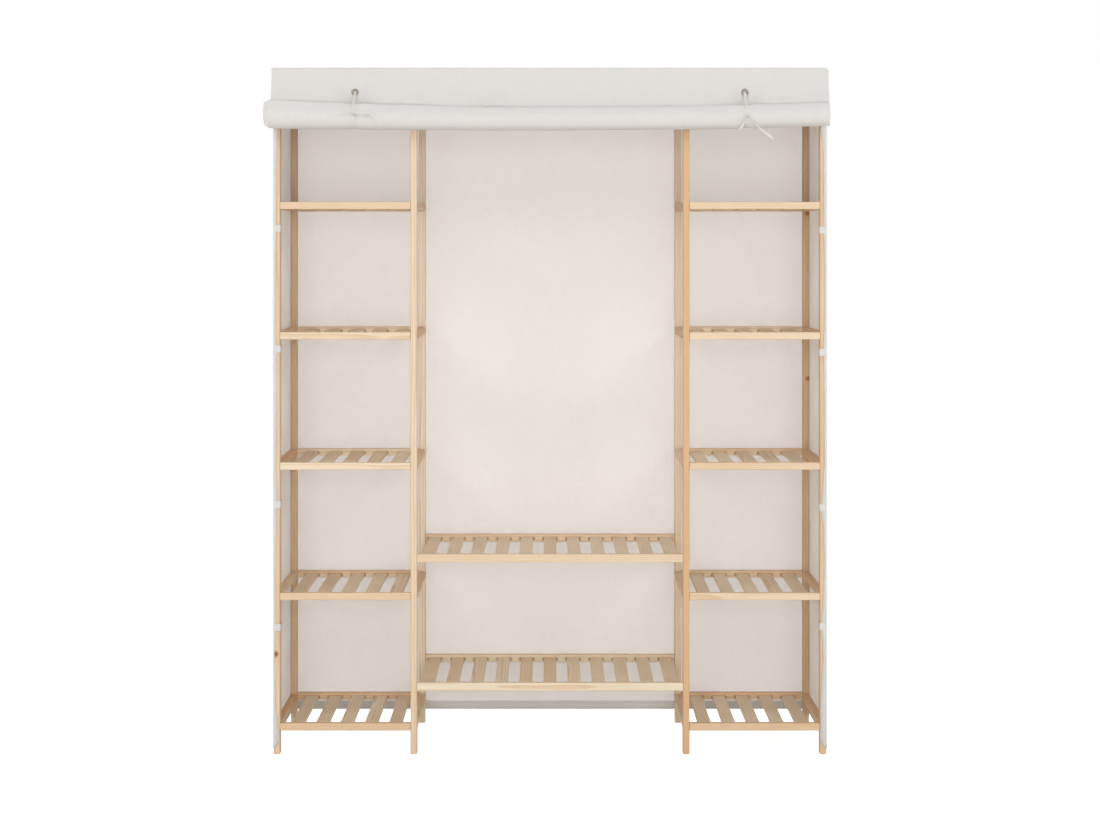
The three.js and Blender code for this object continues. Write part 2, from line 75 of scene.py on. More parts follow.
def blendOf(a, b, share):
    return a + (b - a) * share


def smoothShare(value, low, high):
    share = min(max((value - low) / (high - low), 0), 1)
    return share * share * (3 - 2 * share)


def bell(value, width):
    return math.exp(-(value / width) ** 2)


def hump(value, low, high):
    share = min(max((value - low) / (high - low), 0), 1)
    return math.sin(math.pi * share) ** 2


def spread(low, high, count):
    return [blendOf(low, high, i / (count - 1)) for i in range(count)]


def addNode(tree, kind, inputs=(), **settings):
    # an input is a value, a socket, or a node whose first output in use is linked
    node = tree.nodes.new("ShaderNode" + kind)
    for name, value in settings.items():
        setattr(node, name, value)
    for socket, value in inputs.items() if isinstance(inputs, dict) else enumerate(inputs):
        if isinstance(value, bpy.types.Node):
            value = next(output for output in value.outputs if output.enabled)
        if isinstance(value, bpy.types.NodeSocket):
            tree.links.new(value, node.inputs[socket])
        else:
            node.inputs[socket].default_value = value
    return node


def startMaterial(name):
    material = bpy.data.materials.new(name)
    material.use_nodes = True
    material.node_tree.nodes.clear()
    return material, material.node_tree


def newMesh(name, points, faces):
    mesh = bpy.data.meshes.new(name)
    mesh.from_pydata([tuple(p) for p in points], [], faces)
    return mesh


def addObject(name, data):
    item = bpy.data.objects.new(name, data)
    bpy.context.scene.collection.objects.link(item)
    return item


class Build:
    # points, faces and values per point that become one mesh
    def __init__(self):
        self.points = []
        self.faces = []
        self.values = {}

    def add(self, points, faces, **values):
        first = len(self.points)
        self.points += points
        self.faces += [[first + i for i in face] for face in faces]
        for name, given in values.items():
            self.values.setdefault(name, []).extend(given)


def makePiece(build, name, material, body, replaces=(), sharpAngle=40):
    mesh = newMesh(name, build.points, build.faces)
    for key, values in build.values.items():
        isVector = isinstance(values[0], (tuple, Vector))
        attribute = mesh.attributes.new(key, "FLOAT_VECTOR" if isVector else "FLOAT", "POINT")
        flat = [c for value in values for c in value] if isVector else values
        attribute.data.foreach_set("vector" if isVector else "value", flat)
    mesh.validate()
    mesh.shade_smooth()
    mesh.set_sharp_from_angle(angle=math.radians(sharpAngle))
    mesh.materials.append(material)
    piece = addObject(name, mesh)
    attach(piece, body)
    if replaces:
        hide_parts(*replaces)
    return piece


# Camera, level and square to the front

camera = dict(
    lens=72.99,
    sensorWidth=36,
    distance=5.45,  # to the front of the posts
    height=1.2448,
    imageWidth=1100,
    imageHeight=824,
    horizonRow=245,
)


def makeCamera():
    data = bpy.data.cameras.new("camera")
    data.lens = camera["lens"]
    data.sensor_width = camera["sensorWidth"]
    data.shift_y = (camera["horizonRow"] - camera["imageHeight"] / 2) / camera["imageWidth"]
    eye = addObject("camera", data)
    eye.location = (0, frontY - camera["distance"], camera["height"])
    eye.rotation_euler = (math.radians(90), 0, 0)
    bpy.context.scene.camera = eye


makeCamera()
print("camera made")


# Materials

canvasLook = dict(
    colour="#e6e4e2",
    shade="#dcd9d5",  # in the slubs and between the threads
    shadeAll=0.05,  # how much of the shade shows everywhere
    shadeSlubs=1.6,
    # the darker colour also shows as painted shade between the threads, in the weave's grid
    threadGapPaintedShade=0.18,
    roughness=0.87,
    slubRoughness=0.1,
    ior=1.46,
    specular=0.25,
    sheen=0.15,
    sheenRoughness=0.5,
    lightReach=0.004,  # how far daylight spreads inside the cloth
    threadSpacing=0.0024,  # the real 0.5 mm is too fine to show, so it is drawn coarser
    weaveHeight=0.00025,
    slubLength=0.05,
    slubShare=0.05,  # a slub's width as a share of its length
    wrinkleSize=0.03,
    wrinkleHeight=0.0006,
)


def makeCloth(name, look, seeThrough=0):
    material, tree = startMaterial(name)
    weave = addNode(tree, "Attribute", attribute_name="weave").outputs["Vector"]
    split = addNode(tree, "SeparateXYZ", [weave])
    waves = []
    for axis in (0, 1):
        turned = [split.outputs[axis], math.pi / look["threadSpacing"]]
        turned = addNode(tree, "Math", turned, operation="MULTIPLY")
        waves.append(addNode(tree, "Math", [turned], operation="SINE"))
    grid = addNode(tree, "Math", waves, operation="MULTIPLY")
    slubs = []
    thin = look["slubShare"]
    for stretch in ((1, thin, 1), (thin, 1, 1)):
        along = addNode(tree, "VectorMath", [weave, stretch], operation="MULTIPLY")
        slubs.append(addNode(tree, "TexNoise", {
            "Vector": along, "Scale": 1 / (look["slubLength"] * thin), "Detail": 3.0, "Roughness": 0.55}))
    slub = addNode(tree, "Math", slubs, operation="MULTIPLY")
    shade = addNode(tree, "Math", [slub, look["shadeSlubs"], look["shadeAll"]], operation="MULTIPLY_ADD")
    # painted shade between the threads, following the grid that also raises the threads
    shade = addNode(tree, "Math", [grid, look["threadGapPaintedShade"], shade], operation="MULTIPLY_ADD")
    colour = addNode(tree, "Mix", {
        "Factor": shade, 6: linear(look["colour"]), 7: linear(look["shade"])}, data_type="RGBA")
    crumple = addNode(tree, "TexNoise", {
        "Vector": weave, "Scale": 1 / look["wrinkleSize"], "Detail": 4.0, "Roughness": 0.5})
    wrinkles = addNode(tree, "Bump", {
        "Strength": 0.5, "Distance": look["wrinkleHeight"], "Height": crumple})
    threads = addNode(tree, "Bump", {
        "Strength": 0.6, "Distance": look["weaveHeight"], "Height": grid, "Normal": wrinkles})
    rough = addNode(tree, "Math", [slub, look["slubRoughness"], look["roughness"]], operation="MULTIPLY_ADD")
    shader = addNode(tree, "BsdfPrincipled", {
        "Base Color": colour, "Roughness": rough, "Normal": threads, "IOR": look["ior"],
        "Specular IOR Level": look["specular"], "Sheen Weight": look["sheen"],
        "Sheen Roughness": look["sheenRoughness"], "Subsurface Weight": seeThrough,
        "Subsurface Radius": (1, 1, 1), "Subsurface Scale": look["lightReach"]})
    addNode(tree, "OutputMaterial", {"Surface": shader})
    return material


# woven cotton canvas: an even, matt white, broken up by slubs, with painted shade in a faint grid between
# the threads
canvas = makeCloth("wovenCottonCanvas", canvasLook)

# a warmer tint of the same cloth: painted warm light bounced from the pine inside the cover
thinLookWithPaintedBounce = dict(canvasLook, colour="#e8e2de", shade="#ded6d1")

# the same canvas where it hangs in one layer: daylight glows through it, and its colour is made a little
# warmer as painted warm light bounced from the pine
thinCanvas = makeCloth("wovenCottonCanvasOneLayer", thinLookWithPaintedBounce, seeThrough=1.0)

tapeLook = dict(canvasLook, colour="#ebeae5", shade="#d8d6cf", threadSpacing=0.0012,
                weaveHeight=0.0002, wrinkleHeight=0.0002)

# twill cotton tape: a little brighter than the canvas, with ribs that catch the light
tape = makeCloth("twillCottonTape", tapeLook)

pineLook = dict(
    early="#f3e5cb",  # the pale wood of a year
    late="#cf9c69",  # its dark line
    warm="#e0b78d",  # boards that have darkened to orange
    knotHeart="#8f5330",
    knotRim="#c08050",
    ringSpacing=0.0032,
    ringWander=0.009,
    ringWaves=(2.2, 14, 14),  # slow waves per metre, along and across the board
    lateStart=0.35,  # the dark line's start, height and end, as shares of a year's growth
    lateFull=0.9,
    lateEnd=0.93,
    lineStrength=0.38,
    fibreWidth=0.0009,
    fibreLength=0.06,
    fibreStrength=0.3,
    fibreHeight=0.0002,
    knotRadius=0.006,
    roughness=0.48,
    fibreRoughness=0.16,
    ior=1.5,
    specular=0.35,
)


def makePine():
    look = pineLook
    material, tree = startMaterial("sandedPine")
    grain = addNode(tree, "Attribute", attribute_name="grain").outputs["Vector"]
    tone = addNode(tree, "Attribute", attribute_name="tone").outputs["Fac"]
    # how far each point is from the nearest knot drives its colour and the rings that flow round it
    reaches = []
    for knotName in ("knot", "secondKnot"):
        knot = addNode(tree, "Attribute", attribute_name=knotName).outputs["Vector"]
        reaches.append(addNode(tree, "VectorMath", [grain, knot], operation="DISTANCE"))
    away = addNode(tree, "Math", reaches, operation="MINIMUM")
    nearKnot, rim, heart = [
        addNode(tree, "MapRange", {
            "Value": away, "From Min": look["knotRadius"] * start, "From Max": look["knotRadius"] * stop,
            "To Min": 1.0, "To Max": 0.0}, interpolation_type="SMOOTHSTEP")
        for start, stop in ((1, 4), (0.9, 1.7), (0.3, 1))]
    # rings round the tree's middle, which is the X axis
    across = addNode(tree, "VectorMath", [grain, (0, 1, 1)], operation="MULTIPLY")
    radius = addNode(tree, "VectorMath", [across], operation="LENGTH")
    slow = addNode(tree, "VectorMath", [grain, look["ringWaves"]], operation="MULTIPLY")
    wander = addNode(tree, "TexNoise", {"Vector": slow, "Scale": 1.0, "Detail": 2.0, "Roughness": 0.5})
    shifted = addNode(tree, "Math", [wander, look["ringWander"], radius], operation="MULTIPLY_ADD")
    bent = addNode(tree, "Math", [nearKnot, look["knotRadius"], shifted], operation="MULTIPLY_ADD")
    rings = addNode(tree, "Math", [bent, look["ringSpacing"]], operation="DIVIDE")
    year = addNode(tree, "Math", [rings], operation="FRACT")
    slopes = [
        addNode(tree, "MapRange", {
            "Value": year, "From Min": look[start], "From Max": stop, "To Min": low, "To Max": 1 - low},
            interpolation_type="SMOOTHSTEP")
        for start, stop, low in (("lateStart", look["lateFull"], 0.0), ("lateEnd", 1.0, 1.0))]
    lateness = addNode(tree, "Math", slopes, operation="MULTIPLY")
    stretch = (1 / look["fibreLength"], 1 / look["fibreWidth"], 1 / look["fibreWidth"])
    stretched = addNode(tree, "VectorMath", [grain, stretch], operation="MULTIPLY")
    fibre = addNode(tree, "TexNoise", {"Vector": stretched, "Scale": 1.0, "Detail": 3.0, "Roughness": 0.6})
    patch = addNode(tree, "TexNoise", {"Vector": slow, "Scale": 2.3, "Detail": 1.0, "Roughness": 0.5})
    warmth = addNode(tree, "Math", [patch, 0.5, tone], operation="MULTIPLY_ADD", use_clamp=True)
    lineShare = addNode(tree, "Math", [lateness, look["lineStrength"]], operation="MULTIPLY")
    fibreShare = addNode(tree, "MapRange", {
        "Value": fibre, "From Min": 0.45, "From Max": 0.8, "To Min": 0.0, "To Max": look["fibreStrength"]})
    colour = linear(look["early"])
    for share, name in ((warmth, "warm"), (lineShare, "late"), (fibreShare, "late"),
                        (rim, "knotRim"), (heart, "knotHeart")):
        colour = addNode(tree, "Mix", {"Factor": share, 6: colour, 7: linear(look[name])}, data_type="RGBA")
    relief = addNode(tree, "Math", [lateness, 0.4, fibre], operation="MULTIPLY_ADD")
    bump = addNode(tree, "Bump", {"Strength": 0.4, "Distance": look["fibreHeight"], "Height": relief})
    dullness = [fibre, look["fibreRoughness"], look["roughness"]]
    rough = addNode(tree, "Math", dullness, operation="MULTIPLY_ADD")
    shader = addNode(tree, "BsdfPrincipled", {
        "Base Color": colour, "Roughness": rough, "Normal": bump, "IOR": look["ior"],
        "Specular IOR Level": look["specular"]})
    addNode(tree, "OutputMaterial", {"Surface": shader})
    return material


# sanded pine without lacquer: pale and satin, with year lines and fibres along each board
pine = makePine()

nickelLook = dict(
    # both colours are darkened as painted dark reflections, the darker one in the scuffs
    colour="#9a958c",
    scuffAndDarkReflection="#625e57",
    roughness=0.22,
    scuffRoughness=0.25,
    scuffSize=0.002,
    scuffHeight=0.0001,
)


def makeNickel():
    look = nickelLook
    material, tree = startMaterial("platedNickel")
    place = addNode(tree, "TexCoord").outputs["Object"]
    scuff = addNode(tree, "TexNoise", {
        "Vector": place, "Scale": 1 / look["scuffSize"], "Detail": 4.0, "Roughness": 0.6})
    # the scuffs mix in the darker colour: handling marks, and painted dark reflection
    colour = addNode(tree, "Mix", {
        "Factor": scuff, 6: linear(look["colour"]), 7: linear(look["scuffAndDarkReflection"])}, data_type="RGBA")
    dullness = [scuff, look["scuffRoughness"], look["roughness"]]
    rough = addNode(tree, "Math", dullness, operation="MULTIPLY_ADD")
    bump = addNode(tree, "Bump", {"Strength": 0.2, "Distance": look["scuffHeight"], "Height": scuff})
    shader = addNode(tree, "BsdfPrincipled", {
        "Base Color": colour, "Metallic": 1.0, "Roughness": rough, "Normal": bump})
    addNode(tree, "OutputMaterial", {"Surface": shader})
    return material


# plated nickel on pressed brass: grey mirror-like rims, dulled a little by handling; both its colours are
# darker than bare nickel, as painted dark reflections
nickel = makeNickel()
print("materials made")


# The roll, as it was wound up

roll = dict(
    diameter=0.0656,
    slim=0.005,  # thinner at its middle
    taper=0.003,  # its left end is this much thicker in radius, its right end this much thinner
    drop=0.114,  # top of the cover to its axis, at the ends
    sag=0.011,
    turns=10.5,
    pitch=0.002,
    telescope=0.011,  # the inner turns have slipped this far to the left
    slip=0.002,  # and the first turn this far
    # soft waves along it, as depth, length, waves per turn and seed
    waves=[(0.0009, 0.16, 3.1, 5.5), (0.0004, 0.045, 6.3, 9.5)],
    calmEnds=0.4,  # their share at its ends
    calmReach=0.05,
    squeeze=0.0035,  # under each tie
    squeezeWidth=0.013,
    swell=0.0009,  # beside each tie
    swellPlace=0.03,
    swellWidth=0.018,
    pinchX=-0.15,  # a tuck where the roll meets the cloth above it
    pinchDepth=0.0035,
    pinchWidth=0.008,
    pinchTurn=0.75,
    pinchLean=0.06,
    pinchSpan=0.1,
)
tieXs = (-eyeletX, eyeletX)


def rollAt(x):
    # the roll's radius, and the Y and Z of its axis
    across = x / flapHigh.x
    middle = 1 - across ** 2
    radius = (roll["diameter"] - roll["slim"] * middle) / 2 - roll["taper"] * across * abs(across)
    return radius, flapBack - radius, coverTop - roll["drop"] - roll["sag"] * middle


# Sweeping rings of points along a path

tapeCorner = 0.35  # a tape's edges are rounded by this share of its thickness


def ringFaces(rings, sides):
    # the faces of equal rings of points: both ends, then the walls between them
    faces = [list(range(sides))[::-1], [(rings - 1) * sides + j for j in range(sides)]]
    for i in range(rings - 1):
        for j in range(sides):
            k = (j + 1) % sides
            faces.append([i * sides + j, i * sides + k, (i + 1) * sides + k, (i + 1) * sides + j])
    return faces


def alongPath(path):
    # each point with the path's direction there and the length so far
    run = 0
    for i, point in enumerate(path):
        before = path[max(i - 1, 0)]
        run += (point - before).length
        yield point, (path[min(i + 1, len(path) - 1)] - before).normalized(), run


def addTape(build, path, across, width, thickness):
    # each across vector points along the tape's width
    half = width / 2
    edge = thickness / 2
    corner = thickness * tapeCorner
    outline = [
        (-half, -corner), (corner - half, -edge), (half - corner, -edge), (half, -corner),
        (half, corner), (half - corner, edge), (corner - half, edge), (-half, corner),
    ]
    points = []
    weave = []
    for (point, tangent, run), wide in zip(alongPath(path), across):
        side = (wide - tangent * wide.dot(tangent)).normalized()
        up = tangent.cross(side)
        for sideways, upwards in outline:
            points.append(point + side * sideways + up * upwards)
            weave.append((sideways, run, upwards))
    faces = ringFaces(len(path), len(outline))
    build.add(points, faces[2:] + faces[:2], weave=weave)


def smoothPath(points, steps):
    # a Catmull-Rom curve through the points
    ends = [points[0] * 2 - points[1], *points, points[-1] * 2 - points[-2]]
    path = []
    for i in range(1, len(ends) - 2):
        a, b, c, d = ends[i - 1:i + 3]
        for step in range(steps):
            t = step / steps
            path.append(0.5 * (2 * b + (c - a) * t + (2 * a - 5 * b + 4 * c - d) * t ** 2
                               + (3 * b - a - 3 * c + d) * t ** 3))
    path.append(points[-1].copy())
    return path


# Ties: a tape loop round the roll and through the eyelet, a knot, and its two free ends

tie = dict(
    width=0.006,
    loopWidth=0.0075,  # the loop lies flat, its ends are folded a little
    thickness=0.0009,
    clearance=0.0005,
    knotWidth=0.013,
    knotHeight=0.011,
    knotDepth=0.006,
    knotDrop=dict(left=-0.004, right=0.0015),  # from the roll's axis down to the knot
    knotMargins=(0.0012, 0.0008, 0.0012),  # from its strand's middle to its outside
    knotSteps=72,
    strandWidth=0.0032,
    strandThickness=0.0018,
    strandTilt=0.3,
    knotGap=0.3,  # the loop stops this share of the knot's height short of its middle
    liftOffShare=0.28,  # of a turn, where the loop leaves the roll for the eyelet
    loopSteps=18,
    # the loop's way through the eyelet, below its middle
    eyeletDrops=(0.006, 0.003, 0.0005, 0.003, 0.007),
    edgeOn=math.radians(62),  # how far the tape is turned on its edge where it leaves the knot
    sway=math.radians(24),  # and how far it turns to and fro after that
    swayAngle=3.2,
    # free ends as points right of, in front of and above the knot, with their real lengths
    ends=dict(
        left=[
            (0.039, [(0, 0, 0), (-0.011, -0.001, 0.001), (-0.023, -0.001, 0), (-0.037, 0.001, -0.005)]),
            (0.076, [(0, 0, 0), (0.012, -0.002, 0.001), (0.025, -0.003, -0.003), (0.038, -0.003, 0.002),
                     (0.052, -0.001, -0.008), (0.066, 0.001, -0.020)]),
        ],
        right=[
            (0.039, [(0, 0, 0), (-0.004, -0.002, -0.009), (-0.011, -0.001, -0.022), (-0.018, 0, -0.034)]),
            (0.087, [(0, 0, 0), (0.010, -0.003, -0.009), (0.024, -0.003, -0.024), (0.040, -0.002, -0.038),
                     (0.056, -0.001, -0.050), (0.062, 0, -0.056)]),
        ],
    ),
)


def knotPlace(side, x):
    radius, axisY, axisZ = rollAt(x)
    out = radius + tie["clearance"] + tie["knotDepth"] / 2
    return Vector((x, axisY - out, axisZ - tie["knotDrop"][side]))


def makeTieEnds(side, x):
    knot = knotPlace(side, x)
    for (length, route), size in zip(tie["ends"][side], ("short", "long")):
        path = smoothPath([knot + Vector(step) for step in route], 6)
        across = []
        for i, (_, tangent, _) in enumerate(alongPath(path)):
            flat = Vector((-tangent.z, 0, tangent.x)).normalized()
            share = i / len(path)
            twist = tie["edgeOn"] * (1 - share) ** 1.5
            twist += tie["sway"] * math.sin(tie["swayAngle"] * share + (1 if x > 0 else 0))
            across.append(flat * math.cos(twist) + Vector((0, math.sin(twist), 0)))
        build = Build()
        addTape(build, path, across, tie["width"], tie["thickness"])
        end = makePiece(build, f"tie_end_{side}_{size}", tape, "front_flap", [f"tie_ends_{side}"])


def makeKnot(side, x):
    # an overhand knot drawn tight: the tape runs round a flattened trefoil
    knot = knotPlace(side, x)
    sizes = (tie["knotWidth"], tie["knotDepth"], tie["knotHeight"])
    wide, deep, tall = [size / 2 - margin for size, margin in zip(sizes, tie["knotMargins"])]
    path = []
    for i in range(tie["knotSteps"] + 1):
        t = 2 * math.pi * i / tie["knotSteps"]
        path.append(knot + Vector(((math.sin(t) + 2 * math.sin(2 * t)) / 3 * wide, -math.sin(3 * t) * deep,
                                   (math.cos(t) - 2 * math.cos(2 * t)) / 3 * tall)))
    build = Build()
    across = [Vector((0, 1, tie["strandTilt"]))] * len(path)
    addTape(build, path, across, tie["strandWidth"], tie["strandThickness"])
    makePiece(build, f"tie_knot_{side}", tape, "front_flap", [f"tie_ends_{side}"])


def makeTieBand(side, x):
    radius, axisY, axisZ = rollAt(x)
    around = radius - roll["squeeze"] + tie["clearance"] + tie["thickness"] / 2
    knotAngle = math.pi + math.asin(tie["knotDrop"][side] / around)
    knotTurn = tie["knotHeight"] * tie["knotGap"] / around
    front = eyeletLow.y - tie["thickness"]
    back = eyeletHigh.y + tie["thickness"]
    through = zip((front, front, (front + back) / 2, back, back), tie["eyeletDrops"])

    def arc(start, stop):
        return [Vector((x, axisY + around * math.cos(a), axisZ + around * math.sin(a)))
                for a in spread(start, stop, tie["loopSteps"])]

    points = [
        *arc(knotAngle - knotTurn, math.pi * 2 * tie["liftOffShare"]),
        *[Vector((x, y, eyeletZ - drop)) for y, drop in through],
        *arc(0, knotAngle - 2 * math.pi + knotTurn),
    ]
    path = smoothPath(points, 3)
    build = Build()
    addTape(build, path, [Vector((1, 0, 0))] * len(path), tie["loopWidth"], tie["thickness"])
    makePiece(build, f"tie_loop_{side}", tape, "front_flap", [f"tie_band_{side}"])


for tieSide, tieX in zip(("left", "right"), tieXs):
    makeTieEnds(tieSide, tieX)
    makeKnot(tieSide, tieX)
    makeTieBand(tieSide, tieX)
print("ties made")


# Timber: every board carries its own grain, tone and knot

timber = dict(
    arris=0.002,  # radius worked on the long edges
    slatArris=0.0012,
    arrisSteps=3,
    endArris=0.4,  # an arris keeps this share of its radius at a board's ends
    endChamfer=0.0008,
    footChamfer=0.0015,
    # slats are drawn paler than other boards as painted light, against the shade under the rails and the
    # shelf above
    slatPaintedLightTones=(-0.6, 0.25),
    toneSpread=(1.6, 2.4),
    treeLength=20,
    pithOffset=0.06,  # how far from the tree's middle a board may have been cut
    pithLeast=0.15,  # and the least share of that
    # how warm the boards seen from the front are, below 0 for the palest; the two back inner posts are set
    # paler as painted light, against the shade deep in the cover
    tonesWithPaintedLight=dict(
        post_front_outer_left=0.3, post_front_inner_left=0.1, post_front_inner_right=0.8,
        post_front_outer_right=0.45, post_back_outer_left=0.3, post_back_inner_left=-0.4,
        post_back_inner_right=0.0, post_back_outer_right=0.45, side_shelf_left_1=0.4,
        side_shelf_left_2=0.2, side_shelf_left_3=-0.15, side_shelf_left_4=0.0, side_shelf_left_5=0.2,
        side_shelf_right_1=0.45, side_shelf_right_2=0.2, side_shelf_right_3=0.2,
        side_shelf_right_4=0.0, side_shelf_right_5=0.1, middle_shelf_lower=-0.15,
        middle_shelf_upper=0.1),
    # knots, as their place along the board, across its front face and into it
    knots=dict(
        post_front_outer_left=[(0.245, -0.003, -0.014)],
        post_back_outer_right=[(1.327, 0.003, -0.0105), (0.897, 0.004, -0.0105)]),
)
draw = random.Random(11)


def boardLook(name):
    # where in the tree the board was cut, how warm its colour is, and its knots
    reach = timber["pithOffset"]
    offset = Vector((draw.uniform(0, timber["treeLength"]), draw.uniform(-1, 1) * reach,
                     draw.uniform(timber["pithLeast"], 1) * reach))
    tone = draw.betavariate(*timber["toneSpread"])
    # a slat takes a paler tone, as painted light against its shade
    if name == "slat":
        tone = blendOf(*timber["slatPaintedLightTones"], tone)
    tone = timber["tonesWithPaintedLight"].get(name, tone)
    knots = [offset + Vector(place) for place in timber["knots"].get(name, [])]
    farAway = offset + Vector((9, 9, 9))
    return offset, tone, (knots + [farAway, farAway])[:2]


def boardValues(look, places):
    # the values per point that the pine material reads
    offset, tone, knots = look
    count = len(places)
    return dict(grain=[tuple(offset + place) for place in places], tone=[tone] * count,
                knot=[tuple(knots[0])] * count, secondKnot=[tuple(knots[1])] * count)


def addBoard(build, low, high, along, look, arris=timber["arris"], chamfer=timber["endChamfer"]):
    a = "xyz".index(along)
    b = (a + 1) % 3
    c = (a + 2) % 3
    size = high - low
    middle = (low + high) / 2
    steps = timber["arrisSteps"]
    points = []
    places = []
    for place, inset in ((0, chamfer), (chamfer, 0), (size[a] - chamfer, 0), (size[a], chamfer)):
        radius = max(arris - inset, arris * timber["endArris"])
        for quarter in range(4):
            right = (size[b] / 2 - inset - radius) * (1, -1, -1, 1)[quarter]
            up = (size[c] / 2 - inset - radius) * (1, 1, -1, -1)[quarter]
            for step in range(steps + 1):
                angle = math.pi / 2 * (quarter + step / steps)
                point = Vector((0, 0, 0))
                point[a] = low[a] + place
                point[b] = middle[b] + right + radius * math.cos(angle)
                point[c] = middle[c] + up + radius * math.sin(angle)
                points.append(point)
                places.append(Vector((place, point[b] - middle[b], point[c] - middle[c])))
    build.add(points, ringFaces(4, 4 * (steps + 1)), **boardValues(look, places))


def makeTimber(build, name, replaces, body="frame"):
    piece = makePiece(build, name, pine, body, replaces)
    level = piece.modifiers.new("flat faces", "WEIGHTED_NORMAL")
    level.keep_sharp = True


def plainBoard(node, along, chamfer=timber["endChamfer"]):
    low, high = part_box(node)
    build = Build()
    addBoard(build, low, high, along, boardLook(node), chamfer=chamfer)
    makeTimber(build, f"{node}_board", [node])


columns = ("outer_left", "inner_left", "inner_right", "outer_right")
for column in columns:
    for row in ("front", "back"):
        plainBoard(f"post_{row}_{column}", "z", chamfer=timber["footChamfer"])
    for level in range(1, 7):
        node = f"rung_{column}_{level}"
        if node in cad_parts:
            plainBoard(node, "y")
for row in ("front", "back"):
    plainBoard(f"top_rail_{row}", "x")
print("posts, rungs and top rails made")


# Cutting holes: a mesh less another, kept as points and faces

def cutAway(points, faces, cutters):
    cutter = Build()
    for cutPoints, cutFaces in cutters:
        cutter.add(cutPoints, cutFaces)
    solids = []
    for givenPoints, givenFaces in ((points, faces), (cutter.points, cutter.faces)):
        mesh = newMesh("cutting", givenPoints, givenFaces)
        mesh.validate()
        solids.append(addObject("cutting", mesh))
    cut = solids[0].modifiers.new("cut", "BOOLEAN")
    cut.operation = "DIFFERENCE"
    cut.solver = "EXACT"
    cut.object = solids[1]
    carved = solids[0].evaluated_get(bpy.context.evaluated_depsgraph_get())
    result = carved.to_mesh()
    newPoints = [v.co.copy() for v in result.vertices]
    newFaces = [list(p.vertices) for p in result.polygons]
    carved.to_mesh_clear()
    for solid in solids:
        mesh = solid.data
        bpy.data.objects.remove(solid)
        bpy.data.meshes.remove(mesh)
    return newPoints, newFaces


# Slatted shelves: slats glued into routed mortises with round ends

shelf = dict(
    railDepth=0.017,
    slatWidth=0.032,
    slatThickness=0.008,
    slatPitch=0.060,
    slatDrop=0.007,  # slat tops below the rail tops
    mortiseDepth=0.009,
    mortisePlay=0.0002,
    mortiseWall=0.003,
    mortiseSteps=12,
    bayPlay=0.0006,  # a bay is this much wider than its shelf
    nearFit=0.001,  # a slat that nearly fits still counts, as a share of the pitch
    grainDepth=0.1,  # both rails take their grain from within this depth of the tree
)


def mortiseCutter(x, innerY, z, outward):
    # a slot with half-round ends that goes into the rail from its inner face
    radius = shelf["slatThickness"] / 2 + shelf["mortisePlay"]
    steps = shelf["mortiseSteps"]
    outline = []
    for end in (1, -1):
        middle = x + end * shelf["slatWidth"] / 2
        for step in range(steps + 1):
            angle = math.pi * (step / steps - 0.5) + (0 if end > 0 else math.pi)
            outline.append((middle + radius * math.cos(angle), z + radius * math.sin(angle)))
    count = len(outline)
    near = innerY - outward * shelf["mortiseDepth"]
    far = innerY + outward * shelf["mortiseDepth"]
    points = [Vector((px, y, pz)) for y in (near, far) for px, pz in outline]
    faces = [list(range(count)), [count + j for j in range(count)][::-1]]
    faces += [[j, j + count, (j + 1) % count + count, (j + 1) % count] for j in range(count)]
    return points, faces if outward > 0 else [face[::-1] for face in faces]


def mortisedRail(size, slatXs, slatZ, side):
    # a shelf's front or back rail, with the middle of the shelf's top at 0
    outer = side * size.y / 2
    inner = outer - side * shelf["railDepth"]
    low = Vector((-size.x / 2, min(outer, inner), -size.z))
    high = Vector((size.x / 2, max(outer, inner), 0))
    board = Build()
    addBoard(board, low, high, "x", boardLook("rail"))
    return cutAway(board.points, board.faces, [mortiseCutter(x, inner, slatZ, side) for x in slatXs])


def shelfSlats(width):
    endRoom = shelf["slatThickness"] / 2 + shelf["mortisePlay"] + shelf["mortiseWall"]
    room = width - shelf["slatWidth"] - 2 * endRoom
    count = 1 + math.floor(room / shelf["slatPitch"] + shelf["nearFit"])
    return [(i - (count - 1) / 2) * shelf["slatPitch"] for i in range(count)]


railShapes = {}


def makeShelf(node):
    low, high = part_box(node)
    size = high - low
    origin = Vector(((low.x + high.x) / 2, (low.y + high.y) / 2, high.z))
    slatXs = shelfSlats(size.x + shelf["bayPlay"])
    slatZ = -shelf["slatDrop"] - shelf["slatThickness"] / 2
    key = round(size.x, 3)
    if key not in railShapes:
        railShapes[key] = [mortisedRail(size, slatXs, slatZ, side) for side in (-1, 1)]
    build = Build()
    for points, faces in railShapes[key]:
        places = [Vector((p.x, p.y % shelf["grainDepth"], p.z)) for p in points]
        build.add([origin + p for p in points], faces, **boardValues(boardLook(node), places))
    half = Vector((shelf["slatWidth"] / 2, size.y / 2 - shelf["railDepth"] + shelf["mortiseDepth"],
                   shelf["slatThickness"] / 2))
    for x in slatXs:
        middle = origin + Vector((x, 0, slatZ))
        addBoard(build, middle - half, middle + half, "y", boardLook("slat"), timber["slatArris"])
    makeTimber(build, f"{node}_boards", [node])


for sideName in ("left", "right"):
    for level in range(1, 6):
        makeShelf(f"side_shelf_{sideName}_{level}")
for levelName in ("lower", "upper"):
    makeShelf(f"middle_shelf_{levelName}")
print("shelves made")


# Screws: flat heads with a hexagon socket, on the posts' faces that point away from each shelf

screw = dict(
    sides=24,
    # radius and height of the head's edge, shoulder and face, then the hexagon's mouth and floor
    head=[(0.0035, 0), (0.003395, 0.00035), (0.00301, 0.0005)],
    hexagon=[(0.0016, 0.0005), (0.0016, 0.0001)],
    sideDrop=0.009,  # below a side shelf's top
)


